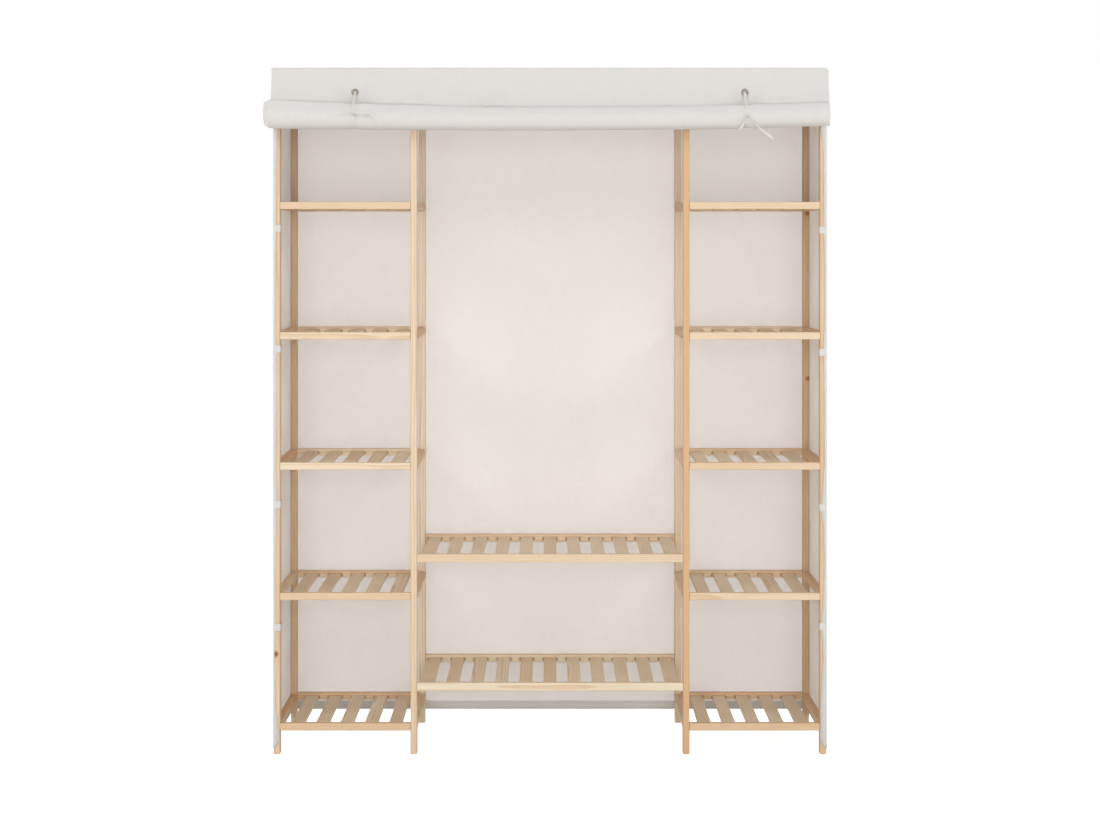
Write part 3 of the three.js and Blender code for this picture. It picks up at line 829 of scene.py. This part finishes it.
def addScrew(build, place, outward):
    points = []
    for radius, height in screw["head"] + screw["hexagon"]:
        for i in range(screw["sides"]):
            angle = 2 * math.pi * i / screw["sides"]
            reach = radius
            if (radius, height) in screw["hexagon"]:
                reach *= math.cos(math.pi / 6) / math.cos(angle % (math.pi / 3) - math.pi / 6)
            step = Vector((outward * height, reach * math.cos(angle), reach * math.sin(angle)))
            points.append(place + step)
    faces = ringFaces(len(screw["head"] + screw["hexagon"]), screw["sides"])
    build.add(points, [face[::-1] for face in faces] if outward > 0 else faces)


def makeScrews():
    build = Build()
    railMiddleY = shelf["railDepth"] / 2
    for side, name in ((-1, "left"), (1, "right")):
        for y in (frontY + railMiddleY, backY - railMiddleY):
            for level in range(1, 6):
                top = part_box(f"side_shelf_{name}_{level}")[1].z
                addScrew(build, Vector((side * innerLow.x, y, top - screw["sideDrop"])), -side)
            for level in ("lower", "upper"):
                low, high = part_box(f"middle_shelf_{level}")
                addScrew(build, Vector((side * innerHigh.x, y, (low.z + high.z) / 2)), side)
    makePiece(build, "shelf_screws", nickel, "frame")


makeScrews()
print("screws made")


# Hanging rail: a turned dowel in blind sockets of the two bearers

rail = dict(
    sides=48,
    endChamfer=0.0015,
    socketDepth=0.010,
    socketClearance=0.0005,
    socketChamfer=0.0001,
)
railLow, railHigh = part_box("hanging_rail")
railRadius = (railHigh.z - railLow.z) / 2
railMiddle = (railLow + railHigh) / 2


def roundBar(length, radius, chamfer):
    half = length / 2
    sides = rail["sides"]
    points = []
    for place, size in ((-half, radius - chamfer), (chamfer - half, radius),
                        (half - chamfer, radius), (half, radius - chamfer)):
        for i in range(sides):
            angle = 2 * math.pi * i / sides
            points.append(Vector((place, size * math.cos(angle), size * math.sin(angle))))
    return points, ringFaces(4, sides)


def makeHangingRail():
    points, faces = roundBar(railHigh.x - railLow.x, railRadius, rail["endChamfer"])
    build = Build()
    build.add([railMiddle + p for p in points], faces, **boardValues(boardLook("hanging_rail"), points))
    makeTimber(build, "hanging_rail_dowel", ["hanging_rail"], "hanging_rail")


def makeBearer(side, outward):
    node = f"rail_bearer_{side}"
    low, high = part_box(node)
    board = Build()
    look = boardLook(node)
    addBoard(board, low, high, "y", look)
    radius = railRadius + rail["socketClearance"]
    socket, socketFaces = roundBar(2 * rail["socketDepth"], radius, rail["socketChamfer"])
    place = Vector((low.x if outward > 0 else high.x, railMiddle.y, railMiddle.z))
    points, faces = cutAway(board.points, board.faces, [([place + p for p in socket], socketFaces)])
    build = Build()
    build.add(points, faces, **boardValues(look, [Vector((p.y, p.z, p.x)) - place.yzx for p in points]))
    makeTimber(build, f"{node}_board", [node])


makeHangingRail()
makeBearer("left", -1)
makeBearer("right", 1)
print("hanging rail made")


# Cloth: grids laid out in flat cloth sizes, given their shape by a function, then their thickness

cloth = dict(
    thickness=0.0009,
    gap=0.0002,  # to what it lies on
    step=0.011,  # between two points of a panel
    hemStep=0.006,
    foldDepth=0.0026,  # of the soft folds in a slack bay
    # the broad and the narrow folds, as share, width, lean and length
    folds=[(0.72, 0.11, 0.7, 0.5), (0.28, 0.035, 1.7, 0.28)],
    hemDepth=0.014,
    hemHeight=0.018,
    cornerRadius={-1: 0.005, 1: 0.010},  # the cover's top left and right corners
    edgeColumns=[0.001, 0.0025, 0.005, 0.008],
)
sewing = dict(
    allowance=0.008,
    radius=0.0014,  # of a turned seam
    out=0.0013,  # its middle stands this far outside the posts
    step=0.03,  # between two points of it
    topStep=0.02,
    start=0.002,  # it starts this far inside the cloth's edge
    sideDrop=0.0004,  # its middle lies this far below the cloth's edge at the sides
    backDrop=0.0008,  # and at the back
    ends=0.01,  # a row of stitches stops this far from the cloth's ends
    rowInset=0.012,
    hemInset=0.003,
    pitch=0.006,  # the real 3 mm is too fine to show
    length=0.004,
    full=0.6,  # this share of a stitch has its full width
    width=0.0009,
    height=0.0004,
)
stitchFaces = [[0, 2, 1], [0, 3, 2], [0, 4, 3], [0, 1, 4], [9, 5, 6], [9, 6, 7], [9, 7, 8], [9, 8, 5],
               [1, 2, 6, 5], [2, 3, 7, 6], [3, 4, 8, 7], [4, 1, 5, 8]]


def cornerDrop(x, edge):
    # how far the cover's top is rounded off near its left or right edge
    radius = cloth["cornerRadius"][-1 if x < 0 else 1]
    inward = min(max(edge - abs(x), 0), radius)
    return radius - math.sqrt(radius ** 2 - (radius - inward) ** 2)


def withEdges(places):
    extra = [places[0] + d for d in cloth["edgeColumns"]] + [places[-1] - d for d in cloth["edgeColumns"]]
    return sorted(places + extra)


def addTube(build, path, radius, sides=8):
    points = []
    weave = []
    for point, tangent, run in alongPath(path):
        right = tangent.cross(Vector((0.3, 0.5, 0.8))).normalized()
        up = tangent.cross(right)
        for j in range(sides):
            angle = 2 * math.pi * j / sides
            points.append(point + (right * math.cos(angle) + up * math.sin(angle)) * radius)
            weave.append((radius * angle, run, 0))
    build.add(points, ringFaces(len(path), sides), weave=weave)


def addStitches(build, route, outward):
    # short stitches that stand a little proud along a route on the cloth
    run = 0
    due = sewing["pitch"] / 2
    for start, stop in zip(route[:-1], route[1:]):
        span = (stop - start).length
        along = (stop - start).normalized()
        across = along.cross(outward).normalized()
        while due <= run + span:
            middle = start.lerp(stop, (due - run) / span)
            half = along * sewing["length"] / 2
            points = [middle - half]
            for end in (-sewing["full"], sewing["full"]):
                for sideways, upwards in ((1, 0), (0, 1), (-1, 0), (0, -1)):
                    points.append(middle + half * end + across * sideways * sewing["width"] / 2
                                  + outward * upwards * sewing["height"])
            points.append(middle + half)
            build.add(points, stitchFaces, weave=[(0, due, 0)] * len(points))
            due += sewing["pitch"]
        run += span


def addClothGrid(build, us, vs, place, keepFace=None):
    points = [place(u, v) for v in vs for u in us]
    count = len(us)
    faces = []
    for j in range(len(vs) - 1):
        for i in range(j * count, (j + 1) * count - 1):
            face = [i, i + 1, i + count + 1, i + count]
            if keepFace is None or keepFace(sum((points[k] for k in face), Vector()) / 4):
                faces.append(face)
    build.add(points, faces, weave=[(u, v, 0) for v in vs for u in us])


def makeCover(build, name, body, replaces, thickness=cloth["thickness"]):
    piece = makePiece(build, name, canvas, body, replaces, sharpAngle=70)
    if body == "frame":
        piece.data.materials.append(thinCanvas)
        for face in piece.data.polygons:
            middle = face.center
            isHem = middle.y < frontY + cloth["hemDepth"] or middle.z < backLow.z + cloth["hemHeight"]
            face.material_index = 0 if isHem else 1
    thick = piece.modifiers.new("thickness", "SOLIDIFY")
    thick.thickness = thickness
    thick.offset = 0


bayLimits = [(below[1].z, above[0].z) for below, above in zip(rungBoxes[:-1], rungBoxes[1:])]


def looseness(z):
    # 1 at the middle of a bay between two rungs, 0 beside a rung
    return max(hump(z, low, high) for low, high in bayLimits)


def softFolds(across, up, seed):
    # long soft folds that hang down, with a slight lean
    return sum(share * noise.noise(Vector((across / width + up * lean, up / length, seed + 7 * i)))
               for i, (share, width, lean, length) in enumerate(cloth["folds"]))


def softWaves(waves, along, down):
    # each wave is a depth, a length, how fast it changes downwards, and a seed
    return sum(depth * noise.noise(Vector((along / length, down * rate, seed)))
               for depth, length, rate, seed in waves)


def steps(low, high, step):
    return spread(low, high, max(2, round((high - low) / step) + 1))


# Back panel

backEdges = [-halfWidth, -innerLow.x, innerLow.x, halfWidth]
backPanel = dict(
    billow=0.003,
    foldOut=0.35,
    hemWaves=[(0.0015, 0.07, 0, 3)],
    hemWaveReach=0.12,
)


def backPlace(x, z, lift=0.0):
    across = max(hump(x, low, high) for low, high in zip(backEdges[:-1], backEdges[1:]))
    loose = across ** 0.6 * looseness(z) ** 0.6
    fold = cloth["foldDepth"] * loose * (backPanel["foldOut"] + softFolds(x, z, 1.5))
    out = backPanel["billow"] * across * looseness(z) + max(fold, -cloth["gap"])
    atHem = smoothShare(z, backLow.z + backPanel["hemWaveReach"], backLow.z)
    out += atHem * softWaves(backPanel["hemWaves"], x, 0)
    return Vector((x, backLow.y + cloth["thickness"] / 2 + out + lift + cloth["gap"], z))


def makeBackPanel():
    build = Build()
    xs = steps(backLow.x, backHigh.x, cloth["step"])
    addClothGrid(build, xs, steps(backLow.z, backHigh.z, cloth["step"]), backPlace)
    hem = steps(backLow.z, backLow.z + cloth["hemHeight"], cloth["hemStep"])
    addClothGrid(build, xs, hem, lambda x, z: backPlace(x, z, cloth["thickness"]))
    makeCover(build, "cover_back_cloth", "frame", ["cover_back"])


# Side panels: a hem turned round the front post, then the cloth between the posts to the back seam

sidePanel = dict(
    sag=0.009,
    turnColumns=[0.0, 0.0013, 0.0026, 0.004],  # round the front corner
    flatStart=0.010,
    postGap=0.0004,
    topGap=0.0006,
    backOut=0.0012,  # how far it goes past the back posts
    footLift=0.022,  # the hem's free edge ends this much higher than its fold
    footReach=0.2,
    cornerSag=0.009,  # the front corner hangs this much lower than the rest
    sagReach=0.12,
    leastHem=0.0021,
    # heights, and how far the hem reaches over the post's front there, both in millimetres
    hemReach=dict(
        left=[(20, 15.6), (46, 15.8), (62, 11.4), (89, 9.4), (118, 4.8), (150, 4.6), (206, 3.8),
              (236, 2.2), (265, 3.3), (294, 4.6), (324, 5.5), (353, 4.1), (400, 4.1), (455, 3.4),
              (500, 4.6), (529, 6.3), (558, 8.6), (646, 8.8), (700, 6.2), (770, 7.7), (880, 7.8),
              (969, 8.2), (1040, 4.9), (1135, 5.4), (1262, 6.5), (1408, 6.5), (1467, 8.5),
              (1526, 10.4), (1680, 10.4)],
        right=[(20, 15.8), (46, 15.9), (62, 15.1), (118, 15.0), (148, 13.1), (177, 12.4), (206, 9.9),
               (236, 7.5), (265, 9.9), (324, 12.4), (353, 9.9), (382, 7.5), (430, 5.6), (470, 5.1),
               (529, 6.3), (558, 7.5), (588, 12.4), (646, 9.9), (676, 7.5), (705, 5.1), (910, 5.5),
               (970, 7.5), (1027, 6.7), (1055, 4.6), (1190, 4.6), (1233, 5.1), (1280, 7.5),
               (1350, 7.5), (1400, 6.7), (1467, 7.6), (1496, 10.0), (1526, 14.0), (1680, 14.6)],
    ),
    tabs=dict(left=[0.3115, 0.6096, 0.9907, 1.2863], right=[0.3115, 0.6035, 0.983, 1.280]),
    tabHeight=0.017,
    tabThickness=0.0014,
    tabGap=0.0006,
    tabBend=0.0022,
    tabLean=0.0015,
    tabRun=0.016,  # the lean builds up over this width
)
clothMiddle = sidePanel["postGap"] + cloth["thickness"] / 2


def hemReach(name, z):
    table = sidePanel["hemReach"][name]
    for (low, first), (high, last) in zip(table[:-1], table[1:]):
        if z * 1000 <= high:
            break
    return blendOf(first, last, smoothShare(z * 1000, low, high)) / 1000


def sidePlace(name, side, u, z, lift=0.0):
    # u runs from -1 at the hem's edge to 0 at the corner, then in metres along the side
    corner = timber["arris"] + clothMiddle + lift
    reach = sidePanel["sagReach"]
    sag = sidePanel["cornerSag"] * smoothShare(z, sideLow.z + reach, sideLow.z) * smoothShare(u, reach, 0)
    atFoot = smoothShare(z, sidePanel["footReach"], sideLow.z)
    z += sidePanel["footLift"] * max(-u, 0) ** 1.6 * atFoot - sag
    if u < 0:
        hem = max(hemReach(name, z), sidePanel["leastHem"])
        x = halfWidth - timber["arris"] - (hem - timber["arris"]) * -u
        return Vector((side * x, frontY - clothMiddle - lift, z))
    turn = min(u / (corner * math.pi / 2), 1) * math.pi / 2
    x = halfWidth - timber["arris"] + corner * math.sin(turn)
    y = frontY + timber["arris"] - corner * math.cos(turn)
    if turn >= math.pi / 2:
        y += u - corner * math.pi / 2
        between = hump(y, frontY + postDepth, backY - postDepth)
        edge = between ** 0.5 * looseness(z) ** 0.5
        fold = cloth["foldDepth"] * edge * softFolds(y * 1.6, z, 11.5 + side)
        x -= sidePanel["sag"] * between * looseness(z) - fold
    return Vector((side * x, y, z))


def makeSidePanel(name, side):
    def outerLayer(u, z):
        return sidePlace(name, side, u, z, cloth["thickness"])

    build = Build()
    turn = sidePanel["turnColumns"]
    along = steps(sidePanel["flatStart"], backY + sidePanel["backOut"] - frontY, cloth["step"])
    top = coverTop - cloth["cornerRadius"][side] - sidePanel["topGap"]
    zs = steps(sideLow.z, top, cloth["step"])
    us = [-1, -0.75, -0.5, -0.25, *turn, *along]
    addClothGrid(build, us, zs, lambda u, z: sidePlace(name, side, u, z))
    addClothGrid(build, [-1, -0.5, *turn, 0.008, cloth["hemDepth"]], zs, outerLayer)
    foot = steps(sideLow.z, sideLow.z + cloth["hemHeight"], cloth["hemStep"])
    addClothGrid(build, [turn[-1], *along], foot, outerLayer)
    makeCover(build, f"cover_side_{name}_cloth", "frame", [f"cover_side_{name}"])


def makeTabs(name, side):
    # strips sewn to the side panel and closed round the front post
    gap = sidePanel["tabGap"] + sidePanel["tabThickness"] / 2
    inner = halfWidth - (postHigh.x - postLow.x)
    rear = frontY + postDepth
    bend = sidePanel["tabBend"]
    corners = [
        (halfWidth - 0.001, frontY - gap - 0.0012), (inner + bend, frontY - gap - 0.0006),
        (inner - gap, frontY + bend), (inner - gap, rear - bend), (inner + bend, rear + gap),
        (halfWidth - 0.002, rear + gap), (halfWidth - 0.0003, rear + gap + 0.004),
    ]
    for i, z in enumerate(sidePanel["tabs"][name]):
        lean = sidePanel["tabLean"] * math.sin(i * 2.1 + side) / sidePanel["tabRun"]
        path = smoothPath([Vector((side * x, y, z + lean * (halfWidth - x))) for x, y in corners], 5)
        build = Build()
        addTape(build, path, [Vector((0, 0, 1))] * len(path), sidePanel["tabHeight"],
                sidePanel["tabThickness"])
        makePiece(build, f"cover_tab_{name}_{i + 1}", canvas, "frame", [f"cover_side_{name}"])


# Top panel: it sags between the top rails and climbs to its seams

topPanel = dict(
    sag=0.010,
    seamRise=0.007,
    seamRun=0.030,
    railDepth=0.018,
    foldDepth=0.0018,
    stitchInset=0.009,
)


def topPlace(x, y):
    middleY = (frontY + backY) / 2
    halfDepth = (backY - frontY) / 2
    inward = max(min(halfWidth - abs(x), halfDepth - abs(y - middleY)), 0)
    climb = topPanel["seamRise"] * max(1 - inward / topPanel["seamRun"], 0) ** 2
    reach = halfDepth - topPanel["railDepth"]
    slack = hump(y - middleY, -reach, reach) * hump(x, -halfWidth, halfWidth) ** 0.25
    fold = topPanel["foldDepth"] * slack ** 0.5 * softFolds(x, y * 0.6, 23.5)
    lift = topPanel["sag"] * (1 - slack) + climb + fold
    return Vector((x, y, topLow.z + cloth["thickness"] / 2 + lift - cornerDrop(x, topHigh.x)))


def makeTopPanel():
    build = Build()
    xs = withEdges(steps(topLow.x, topHigh.x, cloth["step"]))
    addClothGrid(build, xs, steps(topLow.y, topHigh.y, cloth["step"]), topPlace)
    makeCover(build, "cover_top_cloth", "frame", ["cover_top"])


def makeCoverSeams():
    # turned seams down the back corners and round the top, and rows of stitches beside seams and hems
    seams = Build()
    stitches = Build()
    surface = cloth["thickness"] / 2 + cloth["gap"]
    hemSurface = surface + cloth["thickness"]
    ends = sewing["ends"]
    allowance = sewing["allowance"]
    up = Vector((0, 0, 1))
    back = Vector((0, 1, 0))
    backSeam = backY + sewing["out"]
    hemRow = cloth["hemHeight"] - sewing["hemInset"]
    for name, side in (("left", -1), ("right", 1)):
        outward = Vector((side, 0, 0))
        cornerTop = coverTop - cloth["cornerRadius"][side]
        x = side * (halfWidth + sewing["out"])
        zs = steps(sideLow.z + sewing["start"], cornerTop, sewing["step"])
        addTube(seams, [Vector((x, backSeam, z)) for z in zs], sewing["radius"])
        ys = steps(frontY + sewing["start"], backSeam, sewing["step"])
        addTube(seams, [Vector((x, y, cornerTop - sewing["sideDrop"])) for y in ys], sewing["radius"])
        zs = steps(sideLow.z + ends, cornerTop - ends, cloth["step"])
        u = backY - frontY - allowance
        addStitches(stitches, [sidePlace(name, side, u, z, surface) for z in zs], outward)
        addStitches(stitches, [backPlace(side * (halfWidth - allowance), z, surface) for z in zs], back)
        us = steps(sewing["rowInset"], backY - frontY - sewing["rowInset"], cloth["step"])
        for z, lift in ((sideLow.z + hemRow, hemSurface), (cornerTop - allowance, surface)):
            addStitches(stitches, [sidePlace(name, side, u, z, lift) for u in us], outward)
    xs = steps(backLow.x + ends, backHigh.x - ends, cloth["step"])
    for z, lift in ((backLow.z + hemRow, hemSurface), (backHigh.z - sewing["rowInset"], surface)):
        addStitches(stitches, [backPlace(x, z, lift) for x in xs], back)
    for y in (topHigh.y - topPanel["stitchInset"], topLow.y + topPanel["stitchInset"]):
        addStitches(stitches, [topPlace(x, y) + up * surface for x in xs], up)
    y = backY + sidePanel["backOut"]
    xs = steps(backLow.x, backHigh.x, sewing["topStep"])
    topEdge = [Vector((x, y, topPlace(x, topHigh.y).z - sewing["backDrop"])) for x in xs]
    addTube(seams, topEdge, sewing["radius"])
    makePiece(seams, "cover_seams", canvas, "frame", sharpAngle=70)
    makePiece(stitches, "cover_stitches", canvas, "frame")


makeBackPanel()
for panelName, panelSide in (("left", -1), ("right", 1)):
    makeSidePanel(panelName, panelSide)
    makeTabs(panelName, panelSide)
makeTopPanel()
makeCoverSeams()
print("cover panels made")


# Front flap: it hangs from the top seam, goes down behind the roll and winds up into it

flap = dict(
    halfWidth=0.680,
    thickness=0.0008,
    bulge=0.020,  # the slack cloth between the ties leans forward onto the roll
    fullBulge=0.76,  # of the way down
    tieReach=(0.011, 0.055),  # the bulge starts and is full at these distances from a tie
    waves=[(1, 0.19, 0.9, 31.5), (0.3, 0.06, 2, 35.5)],
    waveShare=0.2,
    tuck=0.009,
    tuckWidth=0.016,
    rollGap=1.6,  # thicknesses that stay between the bulge and the roll
    seamStep=0.0006,
    hole=0.0064,
    columns=124,
    innerColumns=44,
    fineTurns=1.25,
    turnSteps=44,
    innerTurnSteps=22,
    rows=18,  # from the seam down to the roll
    seamRows=[0.03, 0.065, 0.09],
    eyeletColumns=13,
    eyeletColumnReach=0.013,
    eyeletRows=12,
    eyeletRowReach=0.012,
)


def rollRadius(x, turn):
    outer = rollAt(x)[0] - flap["thickness"] / 2 - roll["pitch"] * turn
    inner = smoothShare(abs(x), flap["halfWidth"], flap["halfWidth"] - roll["calmReach"])
    slack = softWaves(roll["waves"], x, turn) * blendOf(roll["calmEnds"], 1, inner)
    tight = sum(bell(x - place, roll["squeezeWidth"]) for place in tieXs)
    beside = sum(bell(abs(x - place) - roll["swellPlace"], roll["swellWidth"]) for place in tieXs)
    outerShare = max(1 - turn / 2, 0)
    after = turn - roll["pinchTurn"]
    offCrease = x - roll["pinchX"] - roll["pinchLean"] * after
    pinch = bell(offCrease, roll["pinchWidth"]) * bell(after, roll["pinchSpan"])
    shape = slack + roll["swell"] * beside - roll["squeeze"] * tight
    return outer - roll["pinchDepth"] * pinch + outerShare * shape


def flapPoint(share, turn):
    # turn is below 0 on the cloth above the roll, from -1 at the seam to 0 behind the roll
    x = share * flap["halfWidth"]
    _, axisY, axisZ = rollAt(x)
    radius = rollRadius(x, max(turn, 0))
    if turn >= 0:
        slip = roll["telescope"] * smoothShare(turn, 0, 4) + roll["slip"] * smoothShare(turn, 0, 0.5)
        angle = -2 * math.pi * turn
        return Vector((x - slip, axisY + radius * math.cos(angle), axisZ + radius * math.sin(angle)))
    drop = 1 + turn
    z = blendOf(coverTop - cornerDrop(x, flap["halfWidth"]), axisZ, drop)
    y = blendOf(flapBack - flap["thickness"] / 2, axisY + radius, smoothShare(drop, 0.5, 1))
    height = min(abs(z - axisZ), radius)
    room = radius - math.sqrt(radius ** 2 - height ** 2) - flap["rollGap"] * flap["thickness"]
    free = smoothShare(min(abs(x - place) for place in tieXs), *flap["tieReach"])
    wave = 1 + flap["waveShare"] * softWaves(flap["waves"], x, drop)
    lean = flap["bulge"] * min(drop / flap["fullBulge"], 1) ** 1.5 * wave
    tuck = flap["tuck"] * bell(x - roll["pinchX"], flap["tuckWidth"]) * hump(drop, 0.3, 1.1)
    fromSeam = abs(coverTop - z - sewing["allowance"])
    seam = flap["seamStep"] * (1 - smoothShare(fromSeam, 0.0005, 0.0028))
    return Vector((x, y - free * max(min(lean - tuck, room), 0) + seam, z))


def fineColumns():
    # even columns, with closer ones round the eyelets
    edge = eyeletX / flap["halfWidth"]
    reach = flap["eyeletColumnReach"] / flap["halfWidth"]
    shares = [s for s in spread(-1, 1, flap["columns"]) if abs(abs(s) - edge) > reach]
    close = spread(-reach, reach, flap["eyeletColumns"])
    return withEdges(sorted(shares + [edge + s for s in close] + [-edge + s for s in close]))


def fineRows():
    axisZ = rollAt(eyeletX)[2]
    middle = (coverTop - eyeletZ) / (coverTop - axisZ)
    reach = flap["eyeletRowReach"] / (coverTop - axisZ)
    drops = [d for d in spread(0, 1, flap["rows"]) if abs(d - middle) > reach * 1.1]
    drops += spread(middle - reach, middle + reach, flap["eyeletRows"]) + flap["seamRows"]
    turns = spread(0, flap["fineTurns"], round(flap["fineTurns"] * flap["turnSteps"]) + 1)
    return [d - 1 for d in sorted(drops)] + turns[1:]


def addFlapGrid(build, shares, turns, keepFace=None):
    runs = [run for _, _, run in alongPath([flapPoint(0, turn) for turn in turns])]
    lengths = dict(zip(turns, runs))
    grid = Build()
    addClothGrid(grid, shares, turns, flapPoint, keepFace)
    grid.values["weave"] = [(u * flap["halfWidth"], lengths[v], 0) for u, v, _ in grid.values["weave"]]
    build.add(grid.points, grid.faces, **grid.values)


def makeFlap():
    centres = [Vector((x, 0, eyeletZ)) for x in tieXs]

    def away(middle):
        flat = Vector((middle.x, 0, middle.z))
        return middle.y < flapBack - 0.01 or min((flat - c).length for c in centres) > flap["hole"]

    build = Build()
    addFlapGrid(build, fineColumns(), fineRows(), away)
    rest = roll["turns"] - flap["fineTurns"]
    inner = spread(flap["fineTurns"], roll["turns"], round(rest * flap["innerTurnSteps"]) + 1)
    addFlapGrid(build, spread(-1, 1, flap["innerColumns"]), inner)
    makeCover(build, "front_flap_cloth", "front_flap", ["front_flap"],
              flap["thickness"])


def makeFlapSeam():
    seams = Build()
    stitches = Build()
    edge = withEdges(spread(-1, 1, 60))
    forward = Vector((0, -1, 0))
    below = Vector((0, 0, sewing["radius"]))
    top = [flapPoint(share, -1) - below + forward * flap["thickness"] for share in edge]
    addTube(seams, top, sewing["radius"] * 0.9)
    rowDrop = sewing["allowance"] / roll["drop"] - 1
    row = [flapPoint(share * 0.985, rowDrop) + forward * flap["seamStep"] for share in edge]
    addStitches(stitches, row, forward)
    makePiece(seams, "front_flap_seam", canvas, "front_flap", sharpAngle=70)
    makePiece(stitches, "front_flap_stitches", canvas, "front_flap")


makeFlap()
makeFlapSeam()
print("front flap made")


# Eyelets: a rolled rim in front, a barrel through the cloth and a flat washer behind

eyelet = dict(
    hole=0.0045,
    rim=0.009,
    rimHeight=0.0018,
    rimSteps=9,
    barrel=0.0007,
    washer=0.00825,
    washerThickness=0.0006,
    frontGap=0.0002,  # to the cloth
    backGap=0.0003,
    sides=48,
)


def makeEyelet(side, x):
    front = flapBack - flap["thickness"] - eyelet["frontGap"]
    back = flapBack + eyelet["backGap"]
    hole = eyelet["hole"]
    rim = eyelet["rim"]
    washer = eyelet["washer"]
    rear = back + eyelet["washerThickness"]
    barrel = hole + eyelet["barrel"]
    profile = [(hole, rear), (washer, rear), (washer, back), (barrel, back), (barrel, front), (rim, front)]
    for step in range(1, eyelet["rimSteps"]):
        angle = math.pi * step / eyelet["rimSteps"]
        profile.append(((hole + rim) / 2 + (rim - hole) / 2 * math.cos(angle),
                        front - eyelet["rimHeight"] * math.sin(angle)))
    profile.append((hole, front))
    count = len(profile)
    points = []
    faces = []
    for i in range(eyelet["sides"]):
        angle = 2 * math.pi * i / eyelet["sides"]
        n = (i + 1) % eyelet["sides"]
        for j, (radius, y) in enumerate(profile):
            k = (j + 1) % count
            points.append(Vector((x + radius * math.cos(angle), y, eyeletZ + radius * math.sin(angle))))
            faces.append([i * count + j, n * count + j, n * count + k, i * count + k])
    build = Build()
    build.add(points, faces)
    makePiece(build, f"eyelet_{side}_metal", nickel, "front_flap", [f"eyelet_{side}"])


makeEyelet("left", -eyeletX)
makeEyelet("right", eyeletX)
print("eyelets made")


# Stage: a white floor that keeps a faint shadow, and soft light from both sides of the camera

stage = dict(
    floorSize=60,
    floorDrop=0.0002,  # keeps the posts' feet from flickering against it
    floorGlow=0.9,
    floorColour="#a6a6a6",
    bounceColour="#e0dfdc",
    worldStrength=0.33,
    aimHeight=0.85,
    lamps=dict(  # place, power and size
        softbox_left=((-3.4, -3.8, 3.8), 52, 1.6),
        softbox_right=((3.4, -3.8, 3.8), 52, 1.6),
        softbox_front=((0, -7.2, 0.7), 246, 3.6),
        softbox_side_left=((-4.0, 0.6, 2.0), 60, 2.0),
        softbox_side_right=((4.0, 0.6, 2.0), 60, 2.0),
        softbox_top=((0, 1.5, 4.4), 66, 1.6),
        softbox_back_left=((-3.0, 4.4, 2.4), 31, 2.0),
        softbox_back_right=((3.0, 4.4, 2.4), 31, 2.0),
    ),
)


def seenDirectly(tree):
    # 1 for what the camera, a mirror or glass sees
    rays = addNode(tree, "LightPath").outputs
    seen = addNode(tree, "Math", [rays["Is Camera Ray"], rays["Is Glossy Ray"]], operation="MAXIMUM")
    return addNode(tree, "Math", [seen, rays["Is Transmission Ray"]], operation="MAXIMUM")


def makeFloor():
    half = stage["floorSize"] / 2
    corners = [(-half, -half, 0), (half, -half, 0), (half, half, 0), (-half, half, 0)]
    floor = addObject("floor", newMesh("floor", corners, [[0, 1, 2, 3]]))
    floor.location.z = -stage["floorDrop"]
    material, tree = startMaterial("paintedFloor")
    faint = addNode(tree, "BsdfDiffuse", {"Color": linear(stage["floorColour"])})
    glow = addNode(tree, "Emission", {"Strength": stage["floorGlow"]})
    seen = addNode(tree, "AddShader", [faint, glow])
    bounce = addNode(tree, "BsdfDiffuse", {"Color": linear(stage["bounceColour"])})
    either = addNode(tree, "MixShader", [seenDirectly(tree), bounce, seen])
    addNode(tree, "OutputMaterial", {"Surface": either})
    floor.data.materials.append(material)


def makeWorld():
    world = bpy.data.worlds.new("studio")
    bpy.context.scene.world = world
    world.use_nodes = True
    tree = world.node_tree
    tree.nodes.clear()
    white = (1, 1, 1, 1)
    light = addNode(tree, "Background", {"Color": white, "Strength": stage["worldStrength"]})
    seen = addNode(tree, "Background", {"Color": white, "Strength": 1.0})
    either = addNode(tree, "MixShader", [seenDirectly(tree), light, seen])
    addNode(tree, "OutputWorld", {"Surface": either})


def addLamp(name, place, power, size):
    data = bpy.data.lights.new(name, "AREA")
    data.shape = "SQUARE"
    data.size = size
    data.energy = power
    lamp = addObject(name, data)
    lamp.location = place
    aim = Vector((0, 0, stage["aimHeight"])) - Vector(place)
    lamp.rotation_euler = aim.to_track_quat("-Z", "Y").to_euler()
    lamp.visible_camera = False


makeFloor()
makeWorld()
for lampName, (lampPlace, lampPower, lampSize) in stage["lamps"].items():
    addLamp(lampName, lampPlace, lampPower, lampSize)
bpy.context.scene.view_settings.view_transform = "Standard"
print("stage made")
